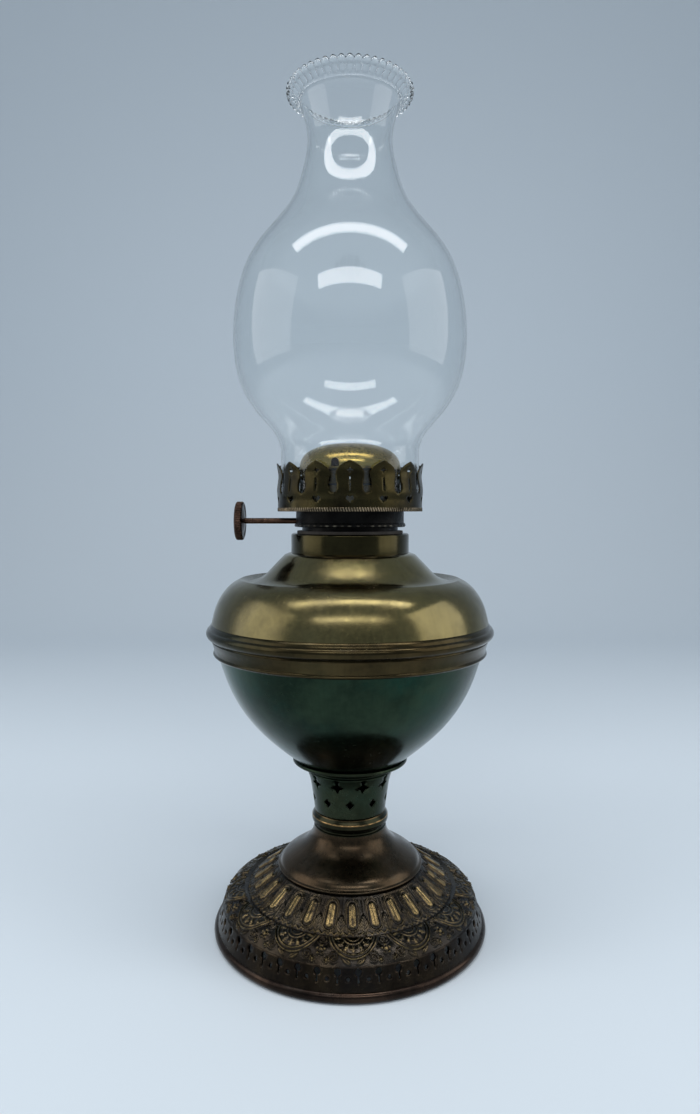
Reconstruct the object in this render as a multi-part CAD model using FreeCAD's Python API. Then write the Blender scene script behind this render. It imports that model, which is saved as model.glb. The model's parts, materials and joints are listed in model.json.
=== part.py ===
import FreeCAD, Part
import math
import os

# Centre-draught kerosene table lamp with a beaded-top glass chimney.
# Millimetres, +Z up.  The origin is the middle of the foot, at table level, and -Y is the front.
# Air rises through the pierced foot and stem, and the draught tube carries it up inside the round wick.

# Sheet metal and clearances
BRASS_WALL = 0.8
TUBE_WALL = 0.6
STEEP = 0.8
RUNNING_CLEARANCE = 0.05
LOOSE_CLEARANCE = 0.3
CUT_OVER = 1.0

# Foot
FOOT_RADIUS = 74.0
RIM_DIAMETER = 5.2
RIM_LAND_DEPTH = 0.15
BAND_FOOT_SETBACK = 1.7
PIERCED_BAND_TOP_RADIUS = 69.0
PIERCED_BAND_TOP = 15.5
SCROLL_BAND_TOP_RADIUS = 57.5
SCROLL_BAND_TOP = 22.6
GADROON_TOP_RADIUS = 38.9
FOOT_TOP = 33.7
FOOT_SEAT_WIDTH = 2.4
GROOVE_WIDTH = 1.6
GROOVE_DEPTH = 0.5
KEYHOLES = 45
KEYHOLE_HEAD_RADIUS = 1.7
KEYHOLE_HEAD_HEIGHT = 13.0
KEYHOLE_THROAT_ANGLE = -36.0
KEYHOLE_TAIL_WIDTH = 0.8
KEYHOLE_TAIL_DROP = 5.5

# Bell over the foot, and the bead ring on it
BELL_NECK_RADIUS = 19.8
BELL_HEIGHT = 20.7
BEAD_RING_RADIUS = 20.8
BEAD_RING_HEIGHT = 9.1
BEAD_RING_BORE = 16.8

# Pierced stem
STEM_RADIUS = 18.6
STEM_TOP_RADIUS = 23.2
STEM_HEIGHT = 22.6
STARS = 10
STAR_WIDTH = 7.1
STAR_WAIST = 1.5
STAR_KNOB_RADIUS = 1.1
STAR_KNOB_ANGLE = -60.0
STAR_DROP = 5.2
DIAMOND_WIDTH = 4.4
DIAMOND_HEIGHT = 4.7
DIAMOND_RISE = 7.7

# Font: seat ring, bowl, rolled seam, shoulder and collar
SEAT_RING_RADIUS = 31.5
SEAT_RING_HEIGHT = 6.1
BOWL_RADIUS = 75.6
BOWL_HEIGHT = 65.6
BOWL_STEP = 3.7
BOWL_SHELF_DROP = 8.0
BOWL_STEP_DROP = 5.5
SEAM_RADIUS = 78.5
SEAM_HEIGHT = 9.0
SHOULDER_RISE = 23.5
SHOULDER_CREST_RADIUS = 60.0
CREASE_RADIUS = 55.8
CREASE_DEPTH = 1.4
CONE_RADIUS = 36.0
CONE_TOP_DROP = 1.3
FONT_MOUTH_RADIUS = 30.0
FONT_MOUTH_RISE = 37.8
COLLAR_RADIUS = 32.5
COLLAR_HEIGHT = 10.4
COLLAR_EDGE_RADIUS = 1.2
COLLAR_LEDGE_RADIUS = 25.0
COLLAR_LEDGE_THICKNESS = 1.0

# Draught tube and round wick
DRAUGHT_TUBE_RADIUS = 17.0
DRAUGHT_TUBE_DROP = 2.1
WICK_THICKNESS = 2.0
WICK_GAP = 0.3
WICK_LENGTH = 124.0
WICK_SHOWING = 1.0
CARRIER_WALL = 1.6
CARRIER_HEIGHT = 6.0
CARRIER_TOP_BELOW_AXIS = 10.8

# Burner
GASKET_THICKNESS = 1.4
GASKET_WIDTH = 2.4
NECK_RADIUS = 26.5
NECK_WALL = 1.2
NECK_SHOWING = 3.9
DRUM_RADIUS = 29.8
DRUM_HEIGHT = 8.1
DRUM_LIP = 0.7
WICK_TUBE_FOOT_BELOW_AXIS = 3.8
WICK_TUBE_ABOVE_DRUM = 14.0

# Raiser: spindle, pinion and rack
SPINDLE_DIAMETER = 3.15
SPINDLE_BELOW_DRUM_TOP = 5.2
GLAND_WALL = 0.4
GEAR_MODULE = 0.7
PINION_TEETH = 10
PRESSURE_ANGLE = 25.0
TOOTH_ADDENDUM = 0.8
TOOTH_DEDENDUM = 1.05
TOOTH_BACKLASH = 0.12
GEAR_FACE = 2.0
SPINDLE_END_COVER = 1.0
RACK_TEETH = 12
RACK_BACK = 1.7
KNOB_DIAMETER = 21.3
KNOB_THICKNESS = 6.0
KNOB_FACE_SHARE = 0.9
KNOB_EDGE_SHARE = 0.62
KNOB_CROWN = 0.2
KNOB_MILLING = 24
KNOB_MILLING_DEPTH = 0.4
KNOB_CENTRE_RADIUS = 60.9

# Gallery and its crown of prongs
GALLERY_RADIUS = 40.0
GALLERY_PLATE = 1.0
GALLERY_RIM_HEIGHT = 2.2
GALLERY_MOUTH_RADIUS = 28.3
AIR_HOLES = 14
AIR_HOLE_RADIUS = 1.8
CROWN_HEIGHT = 25.3
CROWN_WALL = 0.6
CROWN_CLEARANCE = 0.5
CROWN_PINCH = 0.2
CROWN_BULGE = 0.5
CROWN_FLARE = 1.3
PRONGS = 14
PRONG_GAP = 3.0
PRONG_GAP_BELOW = 4.6
PRONG_GAP_FOOT = 8.6
PRONG_TIP_DROP = 2.2
PRONG_WAIST_HEIGHT = 19.0
PRONG_TIP_SHARE = 0.34
PRONG_TIP_OVERLAP = 1.05
HEART_WIDTH = 4.6
HEART_HEIGHT = 3.9
HEART_LOBE_SHARE = 0.3
HEART_RISE = 5.3
SLIT_WIDTH = 0.9
SLIT_LENGTH = 8.0
SLIT_RISE = 13.0
CROSS_SIZE = 3.2
CROSS_RISE = 20.0

# Flame spreader
THIMBLE_WALL = 0.5
THIMBLE_BELOW_TUBE_TOP = 11.0
SPREADER_RISE = 9.0
DOME_RADIUS = 27.9
DOME_HEIGHT = 14.5
THIMBLE_SLOTS = 8
THIMBLE_SLOT_WIDTH = 2.2
THIMBLE_SLOT_HEIGHT = 5.0
THIMBLE_SLOT_MARGIN = 1.0

# Glass chimney
FITTER_RADIUS = 38.1
GLASS_WALL = 2.0
FITTER_HEIGHT = 33.0
BULB_RADIUS = 64.1
BULB_RISE = 92.0
CHIMNEY_NECK_RADIUS = 23.5
CHIMNEY_NECK_RISE = 205.0
CHIMNEY_HEIGHT = 231.6
CHIMNEY_MOUTH_RADIUS = 35.4
CHIMNEY_THROAT_RISE = 166.0

# Levels worked out from the sizes above
BELL_TOP = FOOT_TOP + BELL_HEIGHT
BEAD_RING_TOP = BELL_TOP + BEAD_RING_HEIGHT
STEM_TOP = BEAD_RING_TOP + STEM_HEIGHT
BOWL_FOOT = STEM_TOP + SEAT_RING_HEIGHT
BOWL_TOP = BOWL_FOOT + BOWL_HEIGHT
SEAM_TOP = BOWL_TOP + SEAM_HEIGHT
CREST_LEVEL = SEAM_TOP + SHOULDER_RISE
FONT_MOUTH = SEAM_TOP + FONT_MOUTH_RISE
COLLAR_TOP = FONT_MOUTH + COLLAR_HEIGHT
NECK_FOOT = FONT_MOUTH + COLLAR_LEDGE_THICKNESS
DRUM_FOOT = COLLAR_TOP + NECK_SHOWING
DRUM_TOP = DRUM_FOOT + DRUM_HEIGHT
AXIS_LEVEL = DRUM_TOP - SPINDLE_BELOW_DRUM_TOP
TUBE_TOP = DRUM_TOP + WICK_TUBE_ABOVE_DRUM
GALLERY_FLOOR = DRUM_TOP + GALLERY_PLATE
SPREADER_PLATE = TUBE_TOP + SPREADER_RISE
RIM_CENTRE = RIM_DIAMETER / 2 - RIM_LAND_DEPTH

# Radii worked out from the sizes above
WICK_BORE = DRAUGHT_TUBE_RADIUS + WICK_GAP
WICK_RADIUS = WICK_BORE + WICK_THICKNESS
WICK_TUBE_BORE = WICK_RADIUS + WICK_GAP
WICK_TUBE_RADIUS = WICK_TUBE_BORE + BRASS_WALL
SPINDLE_RADIUS = SPINDLE_DIAMETER / 2
PITCH_RADIUS = GEAR_MODULE * PINION_TEETH / 2
GEAR_INNER_X = -(WICK_TUBE_RADIUS + BRASS_WALL)
GEAR_OUTER_X = GEAR_INNER_X - GEAR_FACE
CROWN_RADIUS = FITTER_RADIUS + CROWN_CLEARANCE + CROWN_WALL


def at(radius, height):
    """A point of a turned profile."""
    return FreeCAD.Vector(radius, 0, height)


def between(start, end, fractions):
    """Points from start to end, the ones between at (across, up) fractions of the way."""
    across = end[0] - start[0]
    up = end[1] - start[1]
    inner = [(start[0] + across * u, start[1] + up * v) for u, v in fractions]
    return [start] + inner + [end]


def stretch_edge(points):
    """A straight edge through two points, or a smooth curve through more."""
    if len(points) == 2:
        return Part.makeLine(at(*points[0]), at(*points[1]))
    curve = Part.BSplineCurve()
    curve.interpolate([at(*point) for point in points])
    return curve.toShape()


def turned(stretches):
    """A solid of revolution: the stretches follow each other and the last one closes the profile."""
    face = Part.Face(Part.Wire([stretch_edge(points) for points in stretches]))
    return face.revolve(FreeCAD.Vector(), FreeCAD.Vector(0, 0, 1), 360)


def heading(start, end):
    """The direction from one point of a profile to the next, as a pair of length 1."""
    length = math.dist(start, end)
    return (end[0] - start[0]) / length, (end[1] - start[1]) / length


def inset_end(point, way, wall):
    """An end point moved in by the wall: level where the sheet is steep, and square to it elsewhere."""
    if abs(way[1]) > STEEP:
        return point[0] - wall / way[1], point[1]
    return point[0] - wall * way[1], point[1] + wall * way[0]


def inset(stretches, wall):
    """The stretches moved to the left of their direction by the wall, mitred at each point."""
    chain = [stretches[0][0]] + [point for points in stretches for point in points[1:]]
    ways = [heading(start, end) for start, end in zip(chain, chain[1:])]
    moved = [inset_end(chain[0], ways[0], wall)]
    for point, before, after in zip(chain[1:], ways, ways[1:]):
        reach = wall / (1 + before[0] * after[0] + before[1] * after[1])
        moved.append((point[0] - reach * (before[1] + after[1]), point[1] + reach * (before[0] + after[0])))
    moved.append(inset_end(chain[-1], ways[-1], wall))
    result = []
    first = 0
    for points in stretches:
        result.append(moved[first:first + len(points)])
        first += len(points) - 1
    return result


def sheet(stretches, wall):
    """A turned shell of even wall, whose outer face follows the stretches upwards."""
    inner = inset(stretches, wall)
    top = [stretches[-1][-1], inner[-1][-1]]
    bottom = [inner[0][0], stretches[0][0]]
    back = [points[::-1] for points in inner[::-1]]
    return turned(stretches + [top] + back + [bottom])


def ring(outer, inner, bottom, top):
    """A plain ring between two radii and two levels."""
    corners = [(outer, bottom), (outer, top), (inner, top), (inner, bottom)]
    return turned([[start, end] for start, end in zip(corners, corners[1:] + corners[:1])])


def polygon(corners, depth, start):
    """A prism facing the front: (across, height) corners, from one distance off the axis inwards."""
    points = [FreeCAD.Vector(across, -start, height) for across, height in corners]
    face = Part.Face(Part.makePolygon(points + points[:1]))
    return face.extrude(FreeCAD.Vector(0, depth, 0))


def bow(level, radius, first, last, steps):
    """Corners on a round stretch about a level, between two angles in degrees."""
    turns = [math.radians(first + (last - first) * step / steps) for step in range(steps + 1)]
    return [(radius * math.cos(turn), level + radius * math.sin(turn)) for turn in turns]


def around(tool, count, offset=0.0):
    """Copies of a tool, evenly spaced about the axis, the first turned by the offset of one pitch."""
    copies = []
    for index in range(count):
        copy = tool.copy()
        copy.rotate(FreeCAD.Vector(), FreeCAD.Vector(0, 0, 1), (index + offset) * 360 / count)
        copies.append(copy)
    return Part.makeCompound(copies)


def x_cylinder(radius, start, end):
    """A cylinder on the spindle's axis between two x positions."""
    base = FreeCAD.Vector(start, 0, AXIS_LEVEL)
    return Part.makeCylinder(radius, end - start, base, FreeCAD.Vector(1, 0, 0))


def foot_shell():
    """Rolled rim with a flat land under it, pierced band, scroll band and gadroon band."""
    rim_radius = RIM_DIAMETER / 2
    band_foot = (FOOT_RADIUS - BAND_FOOT_SETBACK, RIM_CENTRE + rim_radius / 2)
    band_top = (PIERCED_BAND_TOP_RADIUS, PIERCED_BAND_TOP)
    scroll_top = (SCROLL_BAND_TOP_RADIUS, SCROLL_BAND_TOP)
    groove = (SCROLL_BAND_TOP_RADIUS - GROOVE_WIDTH, SCROLL_BAND_TOP - GROOVE_DEPTH)
    neck = (GADROON_TOP_RADIUS, FOOT_TOP)
    seat = (GADROON_TOP_RADIUS - FOOT_SEAT_WIDTH, FOOT_TOP)
    scroll = between(band_top, scroll_top, [(0.2, 0.42), (0.57, 0.83)])
    band = [band_foot, band_top]
    shell = sheet([band, scroll, [scroll_top, groove], [groove, neck], [neck, seat]], BRASS_WALL)
    rim = Part.makeTorus(FOOT_RADIUS - rim_radius, rim_radius, FreeCAD.Vector(0, 0, RIM_CENTRE))
    below = Part.makeCylinder(FOOT_RADIUS, RIM_DIAMETER, FreeCAD.Vector(0, 0, -RIM_DIAMETER))
    rim = rim.cut(below)
    return shell.fuse(rim).cut(around(keyhole(), KEYHOLES))


def keyhole():
    """A round head over a tail that narrows downwards."""
    half = KEYHOLE_TAIL_WIDTH / 2
    tail = KEYHOLE_HEAD_HEIGHT - KEYHOLE_TAIL_DROP
    throat = KEYHOLE_THROAT_ANGLE
    head = bow(KEYHOLE_HEAD_HEIGHT, KEYHOLE_HEAD_RADIUS, throat, 180 - throat, 5)
    start = FOOT_RADIUS + CUT_OVER
    end = PIERCED_BAND_TOP_RADIUS - 2 * BRASS_WALL - CUT_OVER
    return polygon([(-half, tail), (half, tail)] + head, start - end, start)


def foot_bell():
    """Spun ogee bell from the foot's neck up to the bead ring."""
    lip = (GADROON_TOP_RADIUS, FOOT_TOP)
    top = (BELL_NECK_RADIUS, BELL_TOP)
    lower = [(0.09, 0.17), (0.26, 0.3), (0.47, 0.42)]
    upper = [(0.68, 0.54), (0.83, 0.67), (0.95, 0.83)]
    return sheet([between(lip, top, lower + upper)], BRASS_WALL)


def stem_bead_ring():
    """Turned bead between the bell and the stem."""
    foot = (BELL_NECK_RADIUS, BELL_TOP)
    top = (STEM_RADIUS, BEAD_RING_TOP)
    bead = [foot, (BEAD_RING_RADIUS, BELL_TOP + 0.3 * BEAD_RING_HEIGHT),
            (BEAD_RING_RADIUS, BELL_TOP + 0.65 * BEAD_RING_HEIGHT), top]
    bore_top = (BEAD_RING_BORE, BEAD_RING_TOP)
    bore_foot = (BEAD_RING_BORE, BELL_TOP)
    return turned([bead, [top, bore_top], [bore_top, bore_foot], [bore_foot, foot]])


def star():
    """Four-pointed star with a round knob over its top point."""
    level = STEM_TOP - STAR_DROP
    tip = STAR_WIDTH / 2
    corners = []
    for quarter in range(4):
        angle = math.pi / 2 * quarter
        if quarter == 1:
            corners += bow(level + tip, STAR_KNOB_RADIUS, STAR_KNOB_ANGLE, 180 - STAR_KNOB_ANGLE, 5)
        else:
            corners.append((tip * math.cos(angle), level + tip * math.sin(angle)))
        notch = angle + math.pi / 4
        corners.append((STAR_WAIST * math.cos(notch), level + STAR_WAIST * math.sin(notch)))
    start = STEM_TOP_RADIUS + CUT_OVER
    return polygon(corners, start - STEM_RADIUS / 2, start)


def diamond(width, height, level, start, depth):
    """Diamond-shaped piercing tool."""
    corners = [(width / 2, level), (0, level + height / 2), (-width / 2, level), (0, level - height / 2)]
    return polygon(corners, depth, start)


def pierced_stem():
    """Flared stem, pierced with a row of stars over a staggered row of diamonds."""
    foot = (STEM_RADIUS, BEAD_RING_TOP)
    top = (STEM_TOP_RADIUS, STEM_TOP)
    stem = sheet([between(foot, top, [(0.12, 0.2), (0.34, 0.5), (0.6, 0.78)])], BRASS_WALL)
    start = STEM_TOP_RADIUS + CUT_OVER
    level = BEAD_RING_TOP + DIAMOND_RISE
    low = diamond(DIAMOND_WIDTH, DIAMOND_HEIGHT, level, start, start - STEM_RADIUS / 2)
    return stem.cut(around(star(), STARS, 0.5)).cut(around(low, STARS))


def font_seat_ring():
    """Turned ring that flares from the stem to the font and is bored for the draught tube."""
    foot = (STEM_TOP_RADIUS, STEM_TOP)
    top = (SEAT_RING_RADIUS, BOWL_FOOT)
    flare = between(foot, top, [(0.25, 0.4), (0.8, 0.95)])
    bore_top = (DRAUGHT_TUBE_RADIUS, BOWL_FOOT)
    bore_foot = (DRAUGHT_TUBE_RADIUS, STEM_TOP)
    return turned([flare, [top, bore_top], [bore_top, bore_foot], [bore_foot, foot]])


def font_bowl():
    """Lower half of the font: flat round the draught tube, deep round bowl, step under the seam."""
    hole = (DRAUGHT_TUBE_RADIUS, BOWL_FOOT)
    foot = (SEAT_RING_RADIUS, BOWL_FOOT)
    shelf = (BOWL_RADIUS - BOWL_STEP, BOWL_TOP - BOWL_SHELF_DROP)
    step = (BOWL_RADIUS - BRASS_WALL, BOWL_TOP - BOWL_STEP_DROP)
    top = (BOWL_RADIUS, BOWL_TOP)
    side = between(foot, shelf, [(0.28, 0.165), (0.61, 0.41), (0.86, 0.71)])
    return sheet([[hole, foot], side, [shelf, step], [step, top]], BRASS_WALL)


def font_shoulder():
    """Upper half of the font: rolled seam bead, round shoulder, crease and ogee cone to the mouth."""
    seam_foot = (BOWL_RADIUS, BOWL_TOP)
    seam_top = (BOWL_RADIUS, SEAM_TOP)
    seam = [seam_foot, (SEAM_RADIUS, BOWL_TOP + SEAM_HEIGHT / 2), seam_top]
    crest = (SHOULDER_CREST_RADIUS, CREST_LEVEL)
    crease = (CREASE_RADIUS, CREST_LEVEL - CREASE_DEPTH)
    cone_top = (CONE_RADIUS, FONT_MOUTH - CONE_TOP_DROP)
    mouth_edge = (COLLAR_RADIUS, FONT_MOUTH)
    mouth = (FONT_MOUTH_RADIUS, FONT_MOUTH)
    shoulder = between(seam_top, crest, [(0.16, 0.4), (0.36, 0.65), (0.7, 0.89)])
    cone = between(crease, cone_top, [(0.3, 0.1), (0.68, 0.55)])
    stretches = [seam, shoulder, [crest, crease], cone, [cone_top, mouth_edge], [mouth_edge, mouth]]
    return sheet(stretches, BRASS_WALL)


def font_collar():
    """Turned collar that the burner screws into, with a ledge inside for its foot."""
    bore = NECK_RADIUS + RUNNING_CLEARANCE
    foot = (COLLAR_RADIUS, FONT_MOUTH)
    side_top = (COLLAR_RADIUS, COLLAR_TOP - COLLAR_EDGE_RADIUS)
    slope = COLLAR_EDGE_RADIUS * (1 - math.sqrt(0.5))
    edge = (COLLAR_RADIUS - slope, COLLAR_TOP - slope)
    top = (COLLAR_RADIUS - COLLAR_EDGE_RADIUS, COLLAR_TOP)
    bore_top = (bore, COLLAR_TOP)
    ledge_edge = (bore, NECK_FOOT)
    ledge = (COLLAR_LEDGE_RADIUS, NECK_FOOT)
    under = (COLLAR_LEDGE_RADIUS, FONT_MOUTH)
    return turned([[foot, side_top], [side_top, edge, top], [top, bore_top], [bore_top, ledge_edge],
                   [ledge_edge, ledge], [ledge, under], [under, foot]])


def draught_tube():
    """Air tube from under the font to the burner's mouth."""
    bore = DRAUGHT_TUBE_RADIUS - TUBE_WALL
    return ring(DRAUGHT_TUBE_RADIUS, bore, STEM_TOP - DRAUGHT_TUBE_DROP, TUBE_TOP)


def collar_gasket():
    """Flat packing ring that lies on the collar round the burner's neck."""
    bore = NECK_RADIUS + LOOSE_CLEARANCE
    return ring(bore + GASKET_WIDTH, bore, COLLAR_TOP, COLLAR_TOP + GASKET_THICKNESS)


def burner_neck():
    """Screwed neck, with the flange that the drum is spun over."""
    bore = NECK_RADIUS - NECK_WALL
    neck = ring(NECK_RADIUS, bore, NECK_FOOT, DRUM_FOOT)
    flange = ring(DRUM_RADIUS - BRASS_WALL, bore, DRUM_FOOT, DRUM_FOOT + BRASS_WALL)
    return neck.fuse(flange)


def burner_drum():
    """Shallow drum that carries the wick tube, slotted for the rack and drilled for the spindle."""
    top_plate = DRUM_TOP - BRASS_WALL
    side = ring(DRUM_RADIUS, DRUM_RADIUS - BRASS_WALL, DRUM_FOOT, DRUM_TOP)
    lip = ring(DRUM_RADIUS + DRUM_LIP, DRUM_RADIUS - BRASS_WALL, DRUM_FOOT, DRUM_FOOT + 2 * DRUM_LIP)
    plate = ring(DRUM_RADIUS, WICK_TUBE_RADIUS, top_plate, DRUM_TOP)
    outside = -(DRUM_RADIUS + DRUM_LIP + CUT_OVER)
    spindle_hole = x_cylinder(SPINDLE_RADIUS + RUNNING_CLEARANCE, outside, GEAR_OUTER_X)
    tip = PITCH_RADIUS - GEAR_MODULE * TOOTH_ADDENDUM
    corner = FreeCAD.Vector(GEAR_OUTER_X - LOOSE_CLEARANCE, tip - LOOSE_CLEARANCE, top_plate - CUT_OVER)
    width = rack_back() - tip + 2 * LOOSE_CLEARANCE
    slot = Part.makeBox(GEAR_FACE + 2 * LOOSE_CLEARANCE, width, BRASS_WALL + 2 * CUT_OVER, corner)
    return side.fuse(lip).fuse(plate).cut(spindle_hole).cut(slot)


def outer_wick_tube():
    """Outer wall of the round wick slot."""
    return ring(WICK_TUBE_RADIUS, WICK_TUBE_BORE, AXIS_LEVEL - WICK_TUBE_FOOT_BELOW_AXIS, TUBE_TOP)


def spindle_gland():
    """Bush inside the drum's wall that the spindle turns in."""
    bore = SPINDLE_RADIUS + RUNNING_CLEARANCE
    inside = DRUM_RADIUS - BRASS_WALL
    start = -inside * math.cos(math.asin((bore + GLAND_WALL) / inside))
    end = GEAR_OUTER_X - LOOSE_CLEARANCE
    return x_cylinder(bore + GLAND_WALL, start, end).cut(x_cylinder(bore, start, end))


def spindle_end():
    """Where the spindle ends inside the knob."""
    return -KNOB_CENTRE_RADIUS - KNOB_THICKNESS / 2 + SPINDLE_END_COVER


def raiser_spindle():
    """Straight spindle from the knob to the pinion."""
    return x_cylinder(SPINDLE_RADIUS, spindle_end(), GEAR_INNER_X)


def involute(radius, base):
    """Angle that the involute of a base circle has turned through at a radius."""
    roll = math.sqrt(max((radius / base) ** 2 - 1, 0))
    return roll - math.atan(roll)


def raiser_pinion():
    """Small involute pinion; one tooth points at the rack at rest."""
    base = PITCH_RADIUS * math.cos(math.radians(PRESSURE_ANGLE))
    tip = PITCH_RADIUS + GEAR_MODULE * TOOTH_ADDENDUM
    root = PITCH_RADIUS - GEAR_MODULE * TOOTH_DEDENDUM
    half = (math.pi * GEAR_MODULE - TOOTH_BACKLASH) / 4 / PITCH_RADIUS + involute(PITCH_RADIUS, base)
    flank = [(root, half), (base, half)]
    for step in (0.5, 0.8, 1.0):
        radius = base + (tip - base) * step
        flank.append((radius, half - involute(radius, base)))
    corners = []
    for tooth in range(PINION_TEETH):
        middle = 2 * math.pi * tooth / PINION_TEETH
        for side, points in ((-1, flank), (1, flank[::-1])):
            for radius, angle in points:
                turn = middle + side * angle
                corners.append(FreeCAD.Vector(GEAR_OUTER_X, radius * math.cos(turn),
                                              AXIS_LEVEL + radius * math.sin(turn)))
    wheel = Part.Face(Part.makePolygon(corners + corners[:1])).extrude(FreeCAD.Vector(GEAR_FACE, 0, 0))
    return wheel.cut(x_cylinder(SPINDLE_RADIUS, GEAR_OUTER_X - CUT_OVER, GEAR_INNER_X + CUT_OVER))


def raiser_knob():
    """Milled round knob with softly domed faces, bored for the spindle."""
    radius = KNOB_DIAMETER / 2
    corners = []
    for index in range(2 * KNOB_MILLING):
        reach = radius - KNOB_MILLING_DEPTH * (index % 2)
        turn = math.pi * index / KNOB_MILLING
        corners.append(FreeCAD.Vector(-KNOB_THICKNESS, reach * math.cos(turn), reach * math.sin(turn)))
    outline = Part.Face(Part.makePolygon(corners + corners[:1]))
    blank = outline.extrude(FreeCAD.Vector(2 * KNOB_THICKNESS, 0, 0))
    half = KNOB_THICKNESS / 2
    edge = (KNOB_FACE_SHARE * radius, KNOB_EDGE_SHARE * half)
    face = between((0, half), edge, [(0.6, 0.4)])
    back = [(across, -along) for across, along in face]
    rim = [back[-1], (radius + KNOB_CROWN, 0), edge]
    disc = turned([back, rim, face[::-1], [(0, half), (0, -half)]])
    disc.rotate(FreeCAD.Vector(), FreeCAD.Vector(0, 1, 0), 90)
    knob = blank.common(disc)
    knob.translate(FreeCAD.Vector(-KNOB_CENTRE_RADIUS, 0, AXIS_LEVEL))
    return knob.cut(x_cylinder(SPINDLE_RADIUS, spindle_end(), -KNOB_CENTRE_RADIUS + KNOB_THICKNESS))


def rack_back():
    """Distance of the rack's back from the plane through the spindle."""
    return PITCH_RADIUS + GEAR_MODULE * TOOTH_DEDENDUM + RACK_BACK


def carrier_foot():
    """Level of the underside of the wick carrier at rest."""
    return AXIS_LEVEL - CARRIER_TOP_BELOW_AXIS - CARRIER_HEIGHT


def wick_rack():
    """Upright rack beside the pinion, standing on the carrier's lug; a gap meets the pinion's tooth."""
    pitch = math.pi * GEAR_MODULE
    tip = PITCH_RADIUS - GEAR_MODULE * TOOTH_ADDENDUM
    root = PITCH_RADIUS + GEAR_MODULE * TOOTH_DEDENDUM
    slope = math.tan(math.radians(PRESSURE_ANGLE))
    half = (pitch - TOOTH_BACKLASH) / 4
    half_tip = half - slope * (PITCH_RADIUS - tip)
    half_root = half + slope * (root - PITCH_RADIUS)
    lowest = AXIS_LEVEL - pitch * (math.floor((RACK_TEETH - 1) / 2) - 0.5)
    corners = [(rack_back(), carrier_foot()), (root, carrier_foot())]
    for tooth in range(RACK_TEETH):
        middle = lowest + tooth * pitch
        corners += [(root, middle - half_root), (tip, middle - half_tip)]
        corners += [(tip, middle + half_tip), (root, middle + half_root)]
    top = lowest + (RACK_TEETH - 0.5) * pitch
    corners += [(root, top), (rack_back(), top)]
    points = [FreeCAD.Vector(GEAR_OUTER_X, y, z) for y, z in corners]
    return Part.Face(Part.makePolygon(points + points[:1])).extrude(FreeCAD.Vector(GEAR_FACE, 0, 0))


def wick_carrier():
    """Ring that grips the wick's outside, with the lug that the rack stands on."""
    foot = carrier_foot()
    grip = ring(WICK_RADIUS + CARRIER_WALL, WICK_RADIUS, foot, foot + CARRIER_HEIGHT)
    near = PITCH_RADIUS
    width = rack_back() - near
    corner = FreeCAD.Vector(GEAR_INNER_X, near, foot)
    lug = Part.makeBox(-GEAR_INNER_X - WICK_RADIUS + CARRIER_WALL, width, CARRIER_HEIGHT, corner)
    hollow = Part.makeCylinder(WICK_RADIUS, 2 * CARRIER_HEIGHT, FreeCAD.Vector(0, 0, foot - CUT_OVER))
    return grip.fuse(lug.cut(hollow))


def wick():
    """Woven cotton tube, slack round the draught tube and hanging into the fuel."""
    top = TUBE_TOP + WICK_SHOWING
    return ring(WICK_RADIUS, WICK_BORE, top - WICK_LENGTH, top)


def gallery_ring():
    """Plate with a milled rim that carries the crown and the chimney, holed for the outer air."""
    plate = ring(GALLERY_RADIUS, GALLERY_MOUTH_RADIUS, DRUM_TOP, GALLERY_FLOOR)
    rim = ring(GALLERY_RADIUS, CROWN_RADIUS, DRUM_TOP, DRUM_TOP + GALLERY_RIM_HEIGHT)
    middle = (DRUM_RADIUS + FITTER_RADIUS - GLASS_WALL) / 2
    base = FreeCAD.Vector(0, -middle, DRUM_TOP - CUT_OVER)
    hole = Part.makeCylinder(AIR_HOLE_RADIUS, GALLERY_PLATE + 2 * CUT_OVER, base)
    return plate.fuse(rim).cut(around(hole, AIR_HOLES))


def prong_gap():
    """Space between two prongs: round foot, narrow throat and ogee shoulders up to the tips."""
    start = CROWN_RADIUS + CROWN_FLARE + CUT_OVER
    half_pitch = CROWN_RADIUS * math.tan(math.pi / PRONGS) * PRONG_TIP_OVERLAP
    tip = GALLERY_FLOOR + CROWN_HEIGHT
    waist = GALLERY_FLOOR + PRONG_WAIST_HEIGHT
    foot = GALLERY_FLOOR + PRONG_GAP_FOOT
    radius = PRONG_GAP_BELOW / 2
    shoulder = (PRONG_TIP_SHARE * half_pitch + PRONG_GAP / 2, tip - PRONG_TIP_DROP)
    side = bow(foot + radius, radius, -45, 0, 1) + between((PRONG_GAP / 2, waist), shoulder, [(0.4, 0.67)])
    side += [(half_pitch, tip), (half_pitch, tip + CUT_OVER)]
    corners = [(0, foot)] + side + [(-across, height) for across, height in side[::-1]]
    return polygon(corners, CROWN_RADIUS / 2, start)


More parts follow.
